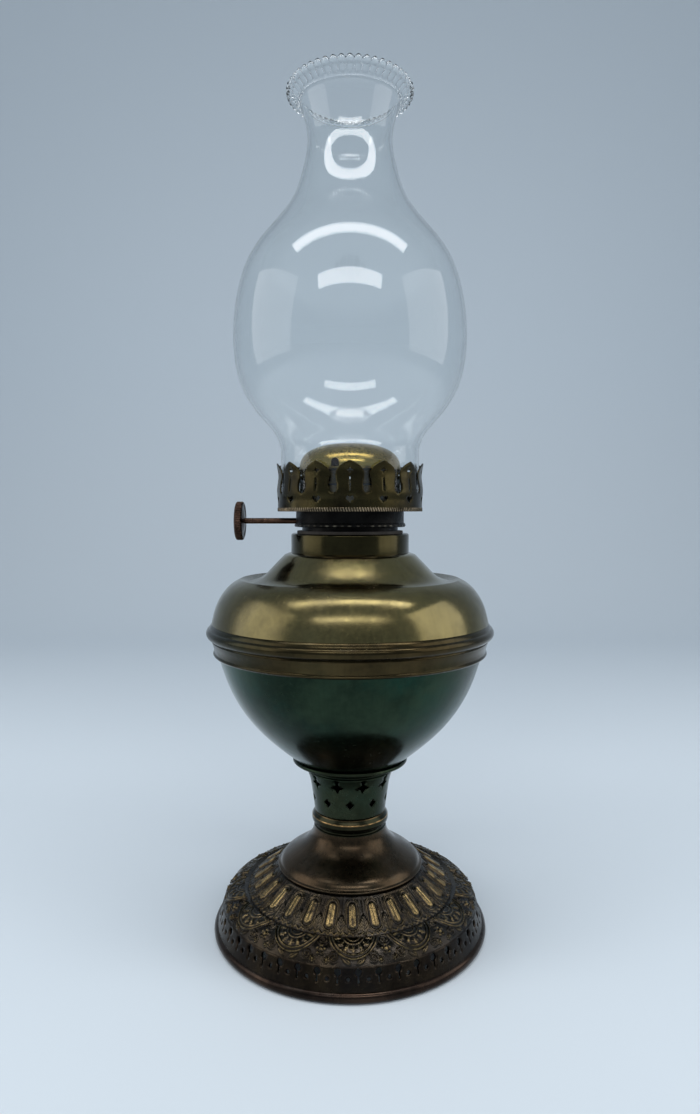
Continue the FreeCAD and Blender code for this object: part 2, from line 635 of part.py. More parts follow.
def gallery_crown():
    """Crown of sprung prongs that grips the chimney, each pierced by a heart, a slit and a cross."""
    foot = GALLERY_FLOOR
    waist = foot + PRONG_WAIST_HEIGHT
    narrow = CROWN_RADIUS - CROWN_PINCH
    base = (CROWN_RADIUS, foot)
    rim_top = (CROWN_RADIUS, DRUM_TOP + GALLERY_RIM_HEIGHT)
    bulge = (CROWN_RADIUS + CROWN_BULGE, foot + PRONG_WAIST_HEIGHT / 2)
    pinch = (narrow, waist)
    tip = (narrow + CROWN_FLARE, foot + CROWN_HEIGHT)
    crown = sheet([[base, rim_top], [rim_top, bulge], [bulge, pinch], [pinch, tip]], CROWN_WALL)
    start = CROWN_RADIUS + CROWN_FLARE + CUT_OVER
    depth = CROWN_RADIUS / 2
    low = foot + HEART_RISE
    lobe = low + HEART_LOBE_SHARE * HEART_HEIGHT
    top = low + HEART_HEIGHT / 2
    right = [(0, low - HEART_HEIGHT / 2), (HEART_WIDTH / 2, lobe), (HEART_WIDTH / 4, top)]
    left = [(0, lobe), (-HEART_WIDTH / 4, top), (-HEART_WIDTH / 2, lobe)]
    heart = polygon(right + left, depth, start)
    slit = diamond(SLIT_WIDTH, SLIT_LENGTH, foot + SLIT_RISE, start, depth)
    cross = diamond(CROSS_SIZE / 2, CROSS_SIZE, foot + CROSS_RISE, start, depth)
    piercings = Part.makeCompound([heart, slit, cross])
    return crown.cut(around(prong_gap(), PRONGS, 0.5)).cut(around(piercings, PRONGS))


def spreader_thimble():
    """Slotted thimble that stands in the draught tube, with the plate that the dome stands on."""
    radius = DRAUGHT_TUBE_RADIUS - TUBE_WALL - LOOSE_CLEARANCE
    bore = radius - THIMBLE_WALL
    wall = ring(radius, bore, TUBE_TOP - THIMBLE_BELOW_TUBE_TOP, SPREADER_PLATE)
    flange = ring(DRAUGHT_TUBE_RADIUS, bore, TUBE_TOP, TUBE_TOP + THIMBLE_WALL)
    plate_foot = FreeCAD.Vector(0, 0, SPREADER_PLATE - THIMBLE_WALL)
    plate = Part.makeCylinder(DOME_RADIUS, THIMBLE_WALL, plate_foot)
    middle = (TUBE_TOP + SPREADER_PLATE) / 2 + THIMBLE_WALL / 2
    half = THIMBLE_SLOT_WIDTH / 2
    rise = min(THIMBLE_SLOT_HEIGHT, SPREADER_RISE - 2 * THIMBLE_SLOT_MARGIN) / 2
    corners = [(-half, middle - rise), (half, middle - rise), (half, middle + rise), (-half, middle + rise)]
    slot = polygon(corners, 2 * THIMBLE_WALL + 2 * CUT_OVER, radius + CUT_OVER)
    return wall.fuse(flange).fuse(plate).cut(around(slot, THIMBLE_SLOTS))


def spreader_dome():
    """Closed bright dome over the spreader's plate."""
    foot = (DOME_RADIUS, SPREADER_PLATE)
    top = (0, SPREADER_PLATE + DOME_HEIGHT)
    side = between(foot, top, [(0.03, 0.38), (0.1, 0.69), (0.32, 0.9), (0.65, 0.983)])
    inner_foot = (DOME_RADIUS - BRASS_WALL, SPREADER_PLATE)
    inner_top = (0, top[1] - BRASS_WALL)
    inner = []
    for radius, height in side:
        level = height - BRASS_WALL * (height - foot[1]) / DOME_HEIGHT
        inner.append((radius - BRASS_WALL * radius / DOME_RADIUS, level))
    return turned([side, [top, inner_top], inner[::-1], [inner_foot, foot]])


def chimney():
    """The whole blown glass: straight fitter, bulb, long ogee to the neck, flared mouth."""
    foot = (FITTER_RADIUS, GALLERY_FLOOR)
    fitter = (FITTER_RADIUS, GALLERY_FLOOR + FITTER_HEIGHT)
    bulb = (BULB_RADIUS, GALLERY_FLOOR + BULB_RISE)
    neck = (CHIMNEY_NECK_RADIUS, GALLERY_FLOOR + CHIMNEY_NECK_RISE)
    mouth = (CHIMNEY_MOUTH_RADIUS, GALLERY_FLOOR + CHIMNEY_HEIGHT)
    rise = between(fitter, bulb, [(0.05, 0.08), (0.42, 0.3), (0.82, 0.57)])
    fall = between(bulb, neck, [(0.04, 0.2), (0.22, 0.405), (0.51, 0.55), (0.8, 0.7), (0.95, 0.87)])
    flare = between(neck, mouth, [(0.11, 0.37), (0.5, 0.8)])
    return sheet([[foot, fitter], rise + fall[1:] + flare[1:]], GLASS_WALL)


def chimney_length(bottom, top):
    """The part of the glass between two levels; the lengths meet on level faces."""
    base = FreeCAD.Vector(0, 0, GALLERY_FLOOR + bottom)
    return chimney().common(Part.makeCylinder(BULB_RADIUS + CUT_OVER, top - bottom, base))


def chimney_foot():
    """The fitter and the lower half of the bulb."""
    return chimney_length(0, BULB_RISE)


def chimney_bulb():
    """The upper half of the bulb, drawn in to the throat."""
    return chimney_length(BULB_RISE, CHIMNEY_THROAT_RISE)


def chimney_neck():
    """The narrow neck and the flared mouth."""
    return chimney_length(CHIMNEY_THROAT_RISE, CHIMNEY_HEIGHT + BULB_RADIUS)


NODES = {
    "foot_shell": foot_shell,
    "foot_bell": foot_bell,
    "stem_bead_ring": stem_bead_ring,
    "pierced_stem": pierced_stem,
    "font_seat_ring": font_seat_ring,
    "font_bowl": font_bowl,
    "font_shoulder": font_shoulder,
    "font_collar": font_collar,
    "draught_tube": draught_tube,
    "collar_gasket": collar_gasket,
    "burner_neck": burner_neck,
    "burner_drum": burner_drum,
    "outer_wick_tube": outer_wick_tube,
    "spindle_gland": spindle_gland,
    "raiser_spindle": raiser_spindle,
    "raiser_pinion": raiser_pinion,
    "raiser_knob": raiser_knob,
    "wick": wick,
    "wick_carrier": wick_carrier,
    "wick_rack": wick_rack,
    "gallery_ring": gallery_ring,
    "gallery_crown": gallery_crown,
    "spreader_thimble": spreader_thimble,
    "spreader_dome": spreader_dome,
    "chimney_foot": chimney_foot,
    "chimney_bulb": chimney_bulb,
    "chimney_neck": chimney_neck,
}

os.makedirs("parts", exist_ok=True)
for name, make in NODES.items():
    shape = make()
    if shape.ShapeType != "Solid" and len(shape.Solids) == 1:
        shape = shape.Solids[0]
    shape.exportStep(os.path.join("parts", name + ".step"))
    print(name, shape.isValid(), len(shape.Solids), round(shape.Volume), shape.BoundBox)
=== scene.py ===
"""Looks of a centre-draught kerosene table lamp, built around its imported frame.

Metres, +Z up.  The origin is the middle of the foot at table level and -Y is the front.
"""

import json
import logging
import math
from dataclasses import dataclass
from enum import Enum
from typing import Callable, Optional, Sequence, Union

import bmesh
import bpy
import numpy as np
from mathutils import Matrix, Vector
from mathutils.geometry import delaunay_2d_cdt


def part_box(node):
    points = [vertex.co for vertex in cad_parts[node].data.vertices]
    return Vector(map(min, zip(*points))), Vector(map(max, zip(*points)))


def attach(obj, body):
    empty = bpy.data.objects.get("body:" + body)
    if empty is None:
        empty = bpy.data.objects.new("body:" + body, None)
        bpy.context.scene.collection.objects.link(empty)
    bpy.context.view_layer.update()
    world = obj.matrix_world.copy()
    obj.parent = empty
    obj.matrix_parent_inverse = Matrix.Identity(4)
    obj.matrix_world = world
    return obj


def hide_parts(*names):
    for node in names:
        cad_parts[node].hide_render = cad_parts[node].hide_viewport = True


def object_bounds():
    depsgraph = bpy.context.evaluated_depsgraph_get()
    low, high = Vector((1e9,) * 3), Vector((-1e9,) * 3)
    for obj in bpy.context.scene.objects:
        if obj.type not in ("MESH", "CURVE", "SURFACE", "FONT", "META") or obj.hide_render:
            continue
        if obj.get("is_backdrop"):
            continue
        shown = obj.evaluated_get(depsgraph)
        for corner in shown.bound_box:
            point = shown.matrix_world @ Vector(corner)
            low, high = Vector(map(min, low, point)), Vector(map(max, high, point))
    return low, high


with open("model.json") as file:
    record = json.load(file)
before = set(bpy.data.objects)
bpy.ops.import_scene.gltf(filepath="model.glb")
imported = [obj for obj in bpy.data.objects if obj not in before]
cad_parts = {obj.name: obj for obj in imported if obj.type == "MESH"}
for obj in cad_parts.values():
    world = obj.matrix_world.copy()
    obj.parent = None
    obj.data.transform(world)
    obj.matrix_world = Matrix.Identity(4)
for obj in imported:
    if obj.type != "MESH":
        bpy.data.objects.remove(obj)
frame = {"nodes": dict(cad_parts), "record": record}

logging.basicConfig(level=logging.INFO, format="%(message)s")
log = logging.getLogger("lamp")

MM = 0.001

# The name of the mask of wear and painted highlights on each mesh, and the distance at which doubled points
# merge
RELIEF_NAME = "relief"
MERGE = 0.004 * MM

# Edges that bend by more than these angles, in degrees, stay crisp
CREASE = 38.0
SOFT_CREASE = 50.0
WIDE_CREASE = 60.0
CARRIED_CREASE = 35.0

# How dust, grain and tarnish act on every metal
DUST_COLOUR = (0.42, 0.38, 0.32)
DUST_ROUGH = 0.5
GRAIN_ROUGH = 0.06
SPECK_SHARE = 0.25
BROAD_SHARE = 0.4

Point = tuple[float, float]
Ring = tuple[float, float, float]
Outline = np.ndarray
Relief = Callable[[np.ndarray, np.ndarray], tuple[np.ndarray, np.ndarray]]
Colour = tuple[float, float, float]
Socket = bpy.types.NodeSocket
Operand = Union[Socket, float]
Paint = Union[Socket, Colour]


class Body(Enum):
    """The bodies of the frame that the pieces ride on."""

    LAMP = "lamp"
    BURNER = "burner"
    RAISER = "raiser"
    GALLERY = "gallery"
    SPREADER = "spreader"
    CHIMNEY = "chimney"


# Outlines of the turned pieces


def smooth(points: Sequence[Point], per_span: int = 10) -> Outline:
    """Points on the natural cubic curve through the given points.

    Args:
        points: (radius, height) pairs in order.
        per_span: how many steps each span between two points gets.

    Returns:
        An array of (radius, height) rows, both ends included.
    """
    knots = np.array(points, float)
    gaps = np.linalg.norm(np.diff(knots, axis=0), axis=1)
    count = len(knots)
    system = np.eye(count)
    right = np.zeros((count, 2))
    for row in range(1, count - 1):
        before, after = gaps[row - 1], gaps[row]
        system[row, row - 1: row + 2] = before, 2 * (before + after), after
        slopes = (knots[row + 1] - knots[row]) / after - (knots[row] - knots[row - 1]) / before
        right[row] = 6 * slopes
    bend = np.linalg.solve(system, right)
    rows = []
    for span in range(count - 1):
        gap = gaps[span]
        share = np.linspace(0, 1, per_span, endpoint=False)[:, None]
        ahead, behind = share * gap, (1 - share) * gap
        rows.append(
            bend[span] * behind**3 / (6 * gap)
            + bend[span + 1] * ahead**3 / (6 * gap)
            + (knots[span] / gap - bend[span] * gap / 6) * behind
            + (knots[span + 1] / gap - bend[span + 1] * gap / 6) * ahead
        )
    rows.append(knots[-1:])
    return np.vstack(rows)


def between(start: Point, end: Point, fractions: Sequence[Point]) -> list[Point]:
    """Points from one place to another, the inner ones at fractions of the way.

    Args:
        start: the first point.
        end: the last point.
        fractions: (across, up) of each inner point, as shares of the way.

    Returns:
        The points in order.
    """
    across, up = end[0] - start[0], end[1] - start[1]
    inner = [(start[0] + across * u, start[1] + up * v) for u, v in fractions]
    return [start] + inner + [end]


def chain(*stretches: Sequence[Point]) -> Outline:
    """Joins stretches end to end: two points stay straight, more become a smooth curve.

    Args:
        stretches: points of each stretch, which starts where the one before ends.

    Returns:
        The joined line.
    """
    rows = []
    for stretch in stretches:
        part = np.array(stretch, float) if len(stretch) == 2 else smooth(stretch)
        rows.append(part if not rows else part[1:])
    return np.vstack(rows)


def inset(line: Outline, wall: float) -> Outline:
    """The line moved to the left of its direction by the wall, mitred at its corners.

    Args:
        line: the line.
        wall: how far it moves, in metres.

    Returns:
        The moved line.
    """
    steps = np.diff(line, axis=0)
    steps /= np.linalg.norm(steps, axis=1)[:, None]
    before = np.vstack([steps[:1], steps])
    after = np.vstack([steps, steps[-1:]])
    reach = wall / (1 + (before * after).sum(1))
    both = before + after
    return line + np.column_stack([-both[:, 1], both[:, 0]]) * reach[:, None]


def shell(line: Outline, wall: float) -> Outline:
    """The closed outline of an even wall whose outer face is the line."""
    return np.vstack([line, inset(line, wall)[::-1]])


def backing(line: Outline, wall: float, every: int = 6) -> Outline:
    """The plain inner face of a wall whose outer face is the line, back to front, with fewer rows."""
    face = inset(line, wall)[::-1]
    return np.vstack([face[:-1:every], face[-1:]])


def distances(line: Outline) -> np.ndarray:
    """How far along the line each of its points is."""
    return np.concatenate([[0], np.cumsum(np.linalg.norm(np.diff(line, axis=0), axis=1))])


def resample(line: Outline, step: float) -> Outline:
    """The line with points at an even step, its ends kept.

    Args:
        line: the line.
        step: the wanted step, in metres.

    Returns:
        The new line.
    """
    lengths = distances(line)
    marks = np.linspace(0, lengths[-1], max(2, int(round(lengths[-1] / step)) + 1))
    return np.column_stack([np.interp(marks, lengths, line[:, k]) for k in (0, 1)])


# Meshes, turned and pierced


def mesh_object(
    name: str,
    points: np.ndarray,
    faces: Sequence,
    sharp: float = CREASE,
    wear_and_highlight: Optional[np.ndarray] = None,
) -> bpy.types.Object:
    """Makes an object from points and faces, its doubled points merged and its faces turned outwards.

    Args:
        name: the piece's name.
        points: rows of x, y, z in metres.
        faces: vertex indices of each face.
        sharp: edges that bend by more than this, in degrees, stay crisp.
        wear_and_highlight: how rubbed each point is, and where a highlight is painted on it, for the finish
            to read.

    Returns:
        The new object, smooth-shaded and linked to the scene.
    """
    mesh = bpy.data.meshes.new(name)
    mesh.from_pydata(points.tolist(), [], faces)
    if wear_and_highlight is not None:
        values = wear_and_highlight.reshape(-1).astype(np.float32)
        mesh.attributes.new(RELIEF_NAME, "FLOAT", "POINT").data.foreach_set("value", values)
    made = bpy.data.objects.new(name, mesh)
    bpy.context.scene.collection.objects.link(made)
    work = bmesh.new()
    work.from_mesh(mesh)
    bmesh.ops.remove_doubles(work, verts=work.verts, dist=MERGE)
    bmesh.ops.recalc_face_normals(work, faces=work.faces)
    work.to_mesh(mesh)
    work.free()
    mesh.shade_smooth()
    mesh.set_sharp_from_angle(angle=math.radians(sharp))
    mesh.update()
    return made


def turned(
    name: str,
    line: Outline,
    segments: int = 160,
    relief: Optional[Relief] = None,
    relief_rows: int = 0,
    sharp: float = CREASE,
) -> bpy.types.Object:
    """Turns a closed outline about the lamp's axis, with an optional relief on its first rows.

    Args:
        name: the piece's name.
        line: (radius, height) rows; the outer side is on the right of its direction.
        segments: columns round the axis.
        relief: gives height and a mask of wear and painted highlights from (angle, distance along the line)
            grids.
        relief_rows: how many of the first rows the relief covers.
        sharp: crease angle in degrees.

    Returns:
        The new object.
    """
    angle = np.linspace(0, 2 * math.pi, segments, endpoint=False)
    radius = np.repeat(line[:, 0][:, None], segments, axis=1)
    height = np.repeat(line[:, 1][:, None], segments, axis=1)
    wear_and_highlight = None
    if relief is not None:
        part = line[:relief_rows]
        slope = np.gradient(part, axis=0)
        slope /= np.linalg.norm(slope, axis=1)[:, None]
        angles = np.broadcast_to(angle, (relief_rows, segments))
        lift, rubbed_and_highlit = relief(angles, np.repeat(distances(part)[:, None], segments, 1))
        radius[:relief_rows] += lift * slope[:, 1][:, None]
        height[:relief_rows] -= lift * slope[:, 0][:, None]
        wear_and_highlight = np.zeros_like(radius)
        wear_and_highlight[:relief_rows] = rubbed_and_highlit
    points = np.stack([radius * np.sin(angle), -radius * np.cos(angle), height], axis=-1)
    here = np.arange(radius.size).reshape(radius.shape)
    above = np.roll(here, -1, 0)
    quads = np.stack([here, np.roll(here, -1, 1), np.roll(above, -1, 1), above], axis=-1)
    return mesh_object(name, points.reshape(-1, 3), quads.reshape(-1, 4).tolist(), sharp, wear_and_highlight)


def inside(points: np.ndarray, loop: np.ndarray) -> np.ndarray:
    """Which of the points lie inside a closed loop.

    Args:
        points: rows of (across, along).
        loop: the loop's points in order.

    Returns:
        True for each point that lies inside.
    """
    x, y = points[:, 0][:, None], points[:, 1][:, None]
    ax, ay = loop[:, 0], loop[:, 1]
    bx, by = np.roll(ax, -1), np.roll(ay, -1)
    cross = ((ay > y) != (by > y)) & (x < (bx - ax) * (y - ay) / (by - ay + 1e-30) + ax)
    return cross.sum(1) % 2 == 1


def circle(middle: Point, radius: float, count: int = 20) -> np.ndarray:
    """A closed loop of points round a middle."""
    turn = np.linspace(0, 2 * math.pi, count, endpoint=False)
    return np.column_stack([middle[0] + radius * np.cos(turn), middle[1] + radius * np.sin(turn)])


def oblong(half: float, length: float, rows: int, columns: int) -> np.ndarray:
    """The edge of an oblong cell as a closed loop.

    Args:
        half: half its width.
        length: its length, upwards from 0.
        rows: points along each side.
        columns: points along each end, corners included.

    Returns:
        Rows of (across, along).
    """
    up = np.linspace(0, length, rows)
    edge = [(-half, v) for v in up[::-1]] + [(u, 0.0) for u in np.linspace(-half, half, columns)[1:-1]]
    edge += [(half, v) for v in up] + [(u, length) for u in np.linspace(half, -half, columns)[1:-1]]
    return np.array(edge)


def at(middle: Point, radius: float, turn: float) -> Point:
    """The point at a radius and an angle from a middle."""
    return middle[0] + radius * math.cos(turn), middle[1] + radius * math.sin(turn)


@dataclass
class PiercedSheet:
    """A thin turned sheet with a repeated cell of cut-outs, each cell made once and copied round.

    Attributes:
        name: the piece's name.
        line: the outer face's outline, upwards.
        cells: how many cells go round.
        edge: the cell's own outline in (across, along) metres, its sides at half a cell.
        holes: closed loops in the same measure.
        reference: the radius at which across is measured.
        wall: the sheet's thickness.
        grid: the spacing of the inner points.
        turn: the angle of the first cell from the front, in degrees.
        clearance: how near an inner point may come to an edge, as a share of the grid.
    """

    name: str
    line: Outline
    cells: int
    edge: np.ndarray
    holes: list
    reference: float
    wall: float
    grid: float = 1.2 * MM
    turn: float = 0.0
    clearance: float = 0.45

    def on_sheet(self, points: np.ndarray) -> np.ndarray:
        """Which of the points lie inside the cell's edge and outside its holes.

        Args:
            points: rows of (across, along).

        Returns:
            True for each point on the metal.
        """
        metal = inside(points, self.edge)
        for hole in self.holes:
            metal &= ~inside(points, hole)
        return metal

    def cell(self) -> tuple[np.ndarray, list]:
        """Cuts one cell into triangles that follow its edge and its holes.

        Returns:
            The cell's points in (across, along), and its triangles.
        """
        loops = [self.edge] + self.holes
        low, high = self.edge.min(0), self.edge.max(0)
        across = np.arange(low[0] + self.grid / 2, high[0], self.grid)
        along = np.arange(low[1] + self.grid / 2, high[1], self.grid)
        spots = np.stack(np.meshgrid(across, along), -1).reshape(-1, 2)
        border = np.vstack(loops)
        near = np.linalg.norm(spots[:, None] - border[None], axis=2).min(1) < self.clearance * self.grid
        spots = spots[self.on_sheet(spots) & ~near]
        edges = []
        first = 0
        for loop in loops:
            edges += [(first + k, first + (k + 1) % len(loop)) for k in range(len(loop))]
            first += len(loop)
        flat = np.vstack([border, spots])
        made = delaunay_2d_cdt([Vector(p) for p in flat.tolist()], edges, [], 0, 1e-7)
        points = np.array([tuple(p) for p in made[0]])
        faces = [tuple(f) for f in made[2]]
        middles = np.array([points[list(f)].mean(0) for f in faces])
        return points, [f for f, metal in zip(faces, self.on_sheet(middles)) if metal]

    def build(self) -> bpy.types.Object:
        """Bends the cells round the axis and gives the sheet its thickness.

        Returns:
            The new object.
        """
        flat, faces = self.cell()
        lengths = distances(self.line)
        radius = np.interp(flat[:, 1], lengths, self.line[:, 0])
        height = np.interp(flat[:, 1], lengths, self.line[:, 1])
        turn = flat[:, 0] / self.reference + math.radians(self.turn)
        points, triangles = [], []
        for index in range(self.cells):
            angle = turn + 2 * math.pi * index / self.cells
            points.append(np.column_stack([radius * np.sin(angle), -radius * np.cos(angle), height]))
            triangles += [tuple(k + index * len(flat) for k in face) for face in faces]
        made = mesh_object(self.name, np.vstack(points), triangles)
        thick = made.modifiers.new("wall", "SOLIDIFY")
        thick.thickness = self.wall
        thick.offset = -1
        thick.use_even_offset = True
        return made


# Effects that the finishes share


class Nodes:
    """Shorthand for laying out one node tree."""

    def __init__(self, tree: bpy.types.NodeTree) -> None:
        """Keeps the tree that the nodes go into."""
        self.tree = tree

    def add(self, kind: str, **settings: object) -> bpy.types.Node:
        """Adds a node and sets its named properties.

        Args:
            kind: the node's type.
            settings: its properties.

        Returns:
            The node.
        """
        node = self.tree.nodes.new(kind)
        for key, value in settings.items():
            setattr(node, key, value)
        return node

    def link(self, start: Socket, end: Socket) -> None:
        """Links an output to an input."""
        self.tree.links.new(start, end)

    def math(
        self,
        operation: str,
        first: Operand,
        second: Optional[Operand] = None,
        clamp: bool = False,
    ) -> Socket:
        """A math node; each operand is a socket or a number.

        Args:
            operation: the node's operation.
            first: the first operand.
            second: the second operand, if it has one.
            clamp: whether the result stays in 0 to 1.

        Returns:
            The result.
        """
        node = self.add("ShaderNodeMath", operation=operation, use_clamp=clamp)
        for slot, value in enumerate((first, second)):
            if value is None:
                continue
            if isinstance(value, (int, float)):
                node.inputs[slot].default_value = value
            else:
                self.link(value, node.inputs[slot])
        return node.outputs[0]

    def noise(self, vector: Socket, scale: Operand, detail: float, rough: float) -> Socket:
        """A noise texture.

        Args:
            vector: the coordinates.
            scale: the noise's scale.
            detail: its detail.
            rough: how strong the fine detail is.

        Returns:
            The noise, from 0 to 1.
        """
        node = self.add("ShaderNodeTexNoise")
        node.inputs["Detail"].default_value = detail
        node.inputs["Roughness"].default_value = rough
        self.link(vector, node.inputs["Vector"])
        if isinstance(scale, (int, float)):
            node.inputs["Scale"].default_value = scale
        else:
            self.link(scale, node.inputs["Scale"])
        return node.outputs[0]

    def ramp(self, value: Socket, low: float, high: float, start: float = 0.0, end: float = 1.0) -> Socket:
        """Spreads a value from one range to another, clamped.

        Args:
            value: the value.
            low: where the first range starts.
            high: where it ends.
            start: the result at low.
            end: the result at high.

        Returns:
            The eased value.
        """
        node = self.add("ShaderNodeMapRange", interpolation_type="SMOOTHSTEP")
        self.link(value, node.inputs["Value"])
        node.inputs["From Min"].default_value = low
        node.inputs["From Max"].default_value = high
        node.inputs["To Min"].default_value = start
        node.inputs["To Max"].default_value = end
        return node.outputs[0]

    def axis_distance(self, parts: bpy.types.Node) -> Socket:
        """The distance from the lamp's axis.

        Args:
            parts: a Separate XYZ node fed by object coordinates.

        Returns:
            The distance.
        """
        square_x = self.math("MULTIPLY", parts.outputs[0], parts.outputs[0])
        square_y = self.math("MULTIPLY", parts.outputs[1], parts.outputs[1])
        return self.math("SQRT", self.math("ADD", square_x, square_y))

    def split(self, vector: Socket) -> bpy.types.Node:
        """A Separate XYZ node fed by a vector.

        Args:
            vector: the vector.

        Returns:
            The node.
        """
        node = self.add("ShaderNodeSeparateXYZ")
        self.link(vector, node.inputs[0])
        return node

    def effect(self, group: bpy.types.NodeTree, place: Socket, **values: float) -> bpy.types.Node:
        """Places a shared effect with its own values.

        Args:
            group: the effect.
            place: the object's coordinates.
            values: values of its other inputs.

        Returns:
            The group node.
        """
        node = self.add("ShaderNodeGroup", node_tree=group)
        self.link(place, node.inputs["Vector"])
        for key, value in values.items():
            node.inputs[key].default_value = value
        return node

    def mix(self, factor: Operand, first: Paint, second: Paint) -> Socket:
        """Mixes two colours; each is a socket or a colour.

        Args:
            factor: the share of the second colour.
            first: the first colour.
            second: the second colour.

        Returns:
            The mixed colour.
        """
        node = self.add("ShaderNodeMix", data_type="RGBA")
        if isinstance(factor, (int, float)):
            node.inputs[0].default_value = factor
        else:
            self.link(factor, node.inputs[0])
        for slot, value in ((6, first), (7, second)):
            if isinstance(value, tuple):
                node.inputs[slot].default_value = (*value, 1.0)
            else:
                self.link(value, node.inputs[slot])
        return node.outputs[2]


def new_material(name: str) -> tuple:
    """Starts a material.

    Args:
        name: the material's name.

    Returns:
        The material, its node helper and its shader.
    """
    made = bpy.data.materials.new(name)
    made.use_nodes = True
    return made, Nodes(made.node_tree), made.node_tree.nodes["Principled BSDF"]


def new_group(name: str, inputs: Sequence[tuple], outputs: Sequence[tuple]) -> tuple:
    """Starts a shader node group with named sockets.

    Args:
        name: the group's name.
        inputs: (name, socket type, default) of each input.
        outputs: (name, socket type) of each output.

    Returns:
        The group, its node helper, its input node and its output node.
    """
    group = bpy.data.node_groups.new(name, "ShaderNodeTree")
    for label, kind, default in inputs:
        socket = group.interface.new_socket(label, in_out="INPUT", socket_type=kind)
        if default is not None:
            socket.default_value = default
    for label, kind in outputs:
        group.interface.new_socket(label, in_out="OUTPUT", socket_type=kind)
    nodes = Nodes(group)
    return group, nodes, nodes.add("NodeGroupInput"), nodes.add("NodeGroupOutput")


class Effects:
    """The shared effects: tarnish, turning lines, streaks, edge wear with the reliefs' painted highlights,
    and dust.
    """

    def __init__(self) -> None:
        """Builds each group once."""
        self.tarnish = self.make_tarnish()
        self.lines = self.make_lines()
        self.streaks = self.make_streaks()
        self.wear = self.make_wear_and_highlight()
        self.dust = self.make_dust()

    @staticmethod
    def make_tarnish() -> bpy.types.NodeTree:
        """Cloudy blotches with a fine grain in them.

        Returns:
            The node group.
        """
        group, nodes, start, end = new_group(
            "tarnish",
            [("Vector", "NodeSocketVector", None), ("Scale", "NodeSocketFloat", 40.0)],
            [("Clouds", "NodeSocketFloat"), ("Grain", "NodeSocketFloat")],
        )
        clouds = nodes.noise(start.outputs["Vector"], start.outputs["Scale"], detail=7.0, rough=0.62)
        fine = nodes.math("MULTIPLY", start.outputs["Scale"], 14.0)
        grain = nodes.noise(start.outputs["Vector"], fine, detail=5.0, rough=0.7)
        nodes.link(nodes.ramp(clouds, low=0.36, high=0.66), end.inputs["Clouds"])
        nodes.link(nodes.ramp(grain, low=0.3, high=0.7), end.inputs["Grain"])
        return group

    @staticmethod
    def make_lines() -> bpy.types.NodeTree:
        """Fine rings left by spinning and turning, as a height.

        Returns:
            The node group.
        """
        group, nodes, start, end = new_group(
            "turning_lines",
            [("Vector", "NodeSocketVector", None), ("Density", "NodeSocketFloat", 900.0)],
            [("Height", "NodeSocketFloat")],
        )
        parts = nodes.split(start.outputs["Vector"])
        climb = nodes.math("MULTIPLY", parts.outputs[2], 1.7)
        way = nodes.math("ADD", nodes.axis_distance(parts), climb)
        ring = nodes.add("ShaderNodeTexNoise", noise_dimensions="1D")
        ring.inputs["Detail"].default_value = 3.0
        nodes.link(way, ring.inputs["W"])
        nodes.link(start.outputs["Density"], ring.inputs["Scale"])
        nodes.link(ring.outputs[0], end.inputs["Height"])
        return group

    @staticmethod
    def make_streaks() -> bpy.types.NodeTree:
        """Stains that run down the sides.

        Returns:
            The node group.
        """
        group, nodes, start, end = new_group(
            "streaks",
            [("Vector", "NodeSocketVector", None), ("Count", "NodeSocketFloat", 24.0),
             ("Length", "NodeSocketFloat", 14.0)],
            [("Mask", "NodeSocketFloat")],
        )
        parts = nodes.split(start.outputs["Vector"])
        radius = nodes.math("ADD", nodes.axis_distance(parts), MM)
        place = nodes.add("ShaderNodeCombineXYZ")
        for slot in (0, 1):
            share = nodes.math("DIVIDE", parts.outputs[slot], radius)
            nodes.link(nodes.math("MULTIPLY", share, start.outputs["Count"]), place.inputs[slot])
        nodes.link(nodes.math("MULTIPLY", parts.outputs[2], start.outputs["Length"]), place.inputs[2])
        run = nodes.noise(place.outputs[0], scale=1.0, detail=5.0, rough=0.6)
        nodes.link(nodes.ramp(run, low=0.5, high=0.72), end.inputs["Mask"])
        return group

    @staticmethod
    def make_wear_and_highlight() -> bpy.types.NodeTree:
        """Rubbed places and painted highlights: the tops of the relief, as its mask gives them, and the
        outer edges, broken up by noise.

        Returns:
            The node group.
        """
        group, nodes, start, end = new_group(
            "edge_wear_and_highlight",
            [("Vector", "NodeSocketVector", None), ("Relief", "NodeSocketFloat", 0.0),
             ("Edges", "NodeSocketFloat", 1.0)],
            [("Mask", "NodeSocketFloat")],
        )
        shape = nodes.add("ShaderNodeNewGeometry")
        edges = nodes.ramp(shape.outputs["Pointiness"], low=0.51, high=0.6)
        edges = nodes.math("MULTIPLY", edges, start.outputs["Edges"])
        both = nodes.math("ADD", edges, start.outputs["Relief"], clamp=True)
        patches = nodes.noise(start.outputs["Vector"], scale=260.0, detail=5.0, rough=0.65)
        patchy = nodes.ramp(patches, low=0.3, high=0.6)
        nodes.link(nodes.math("MULTIPLY", both, patchy), end.inputs["Mask"])
        return group

    @staticmethod
    def make_dust() -> bpy.types.NodeTree:
        """Dust that settles where the surface looks up.

        Returns:
            The node group.
        """
        group, nodes, start, end = new_group(
            "dust",
            [("Vector", "NodeSocketVector", None), ("Amount", "NodeSocketFloat", 0.2)],
            [("Mask", "NodeSocketFloat")],
        )
        shape = nodes.add("ShaderNodeNewGeometry")
        upward = nodes.ramp(nodes.split(shape.outputs["Normal"]).outputs[2], low=0.35, high=1.0)
        patches = nodes.noise(start.outputs["Vector"], scale=120.0, detail=6.0, rough=0.6)
        patchy = nodes.ramp(patches, low=0.4, high=0.75)
        both = nodes.math("MULTIPLY", upward, patchy)
        nodes.link(nodes.math("MULTIPLY", both, start.outputs["Amount"]), end.inputs["Mask"])
        return group


# Finishes of the metals, the glass and the wick


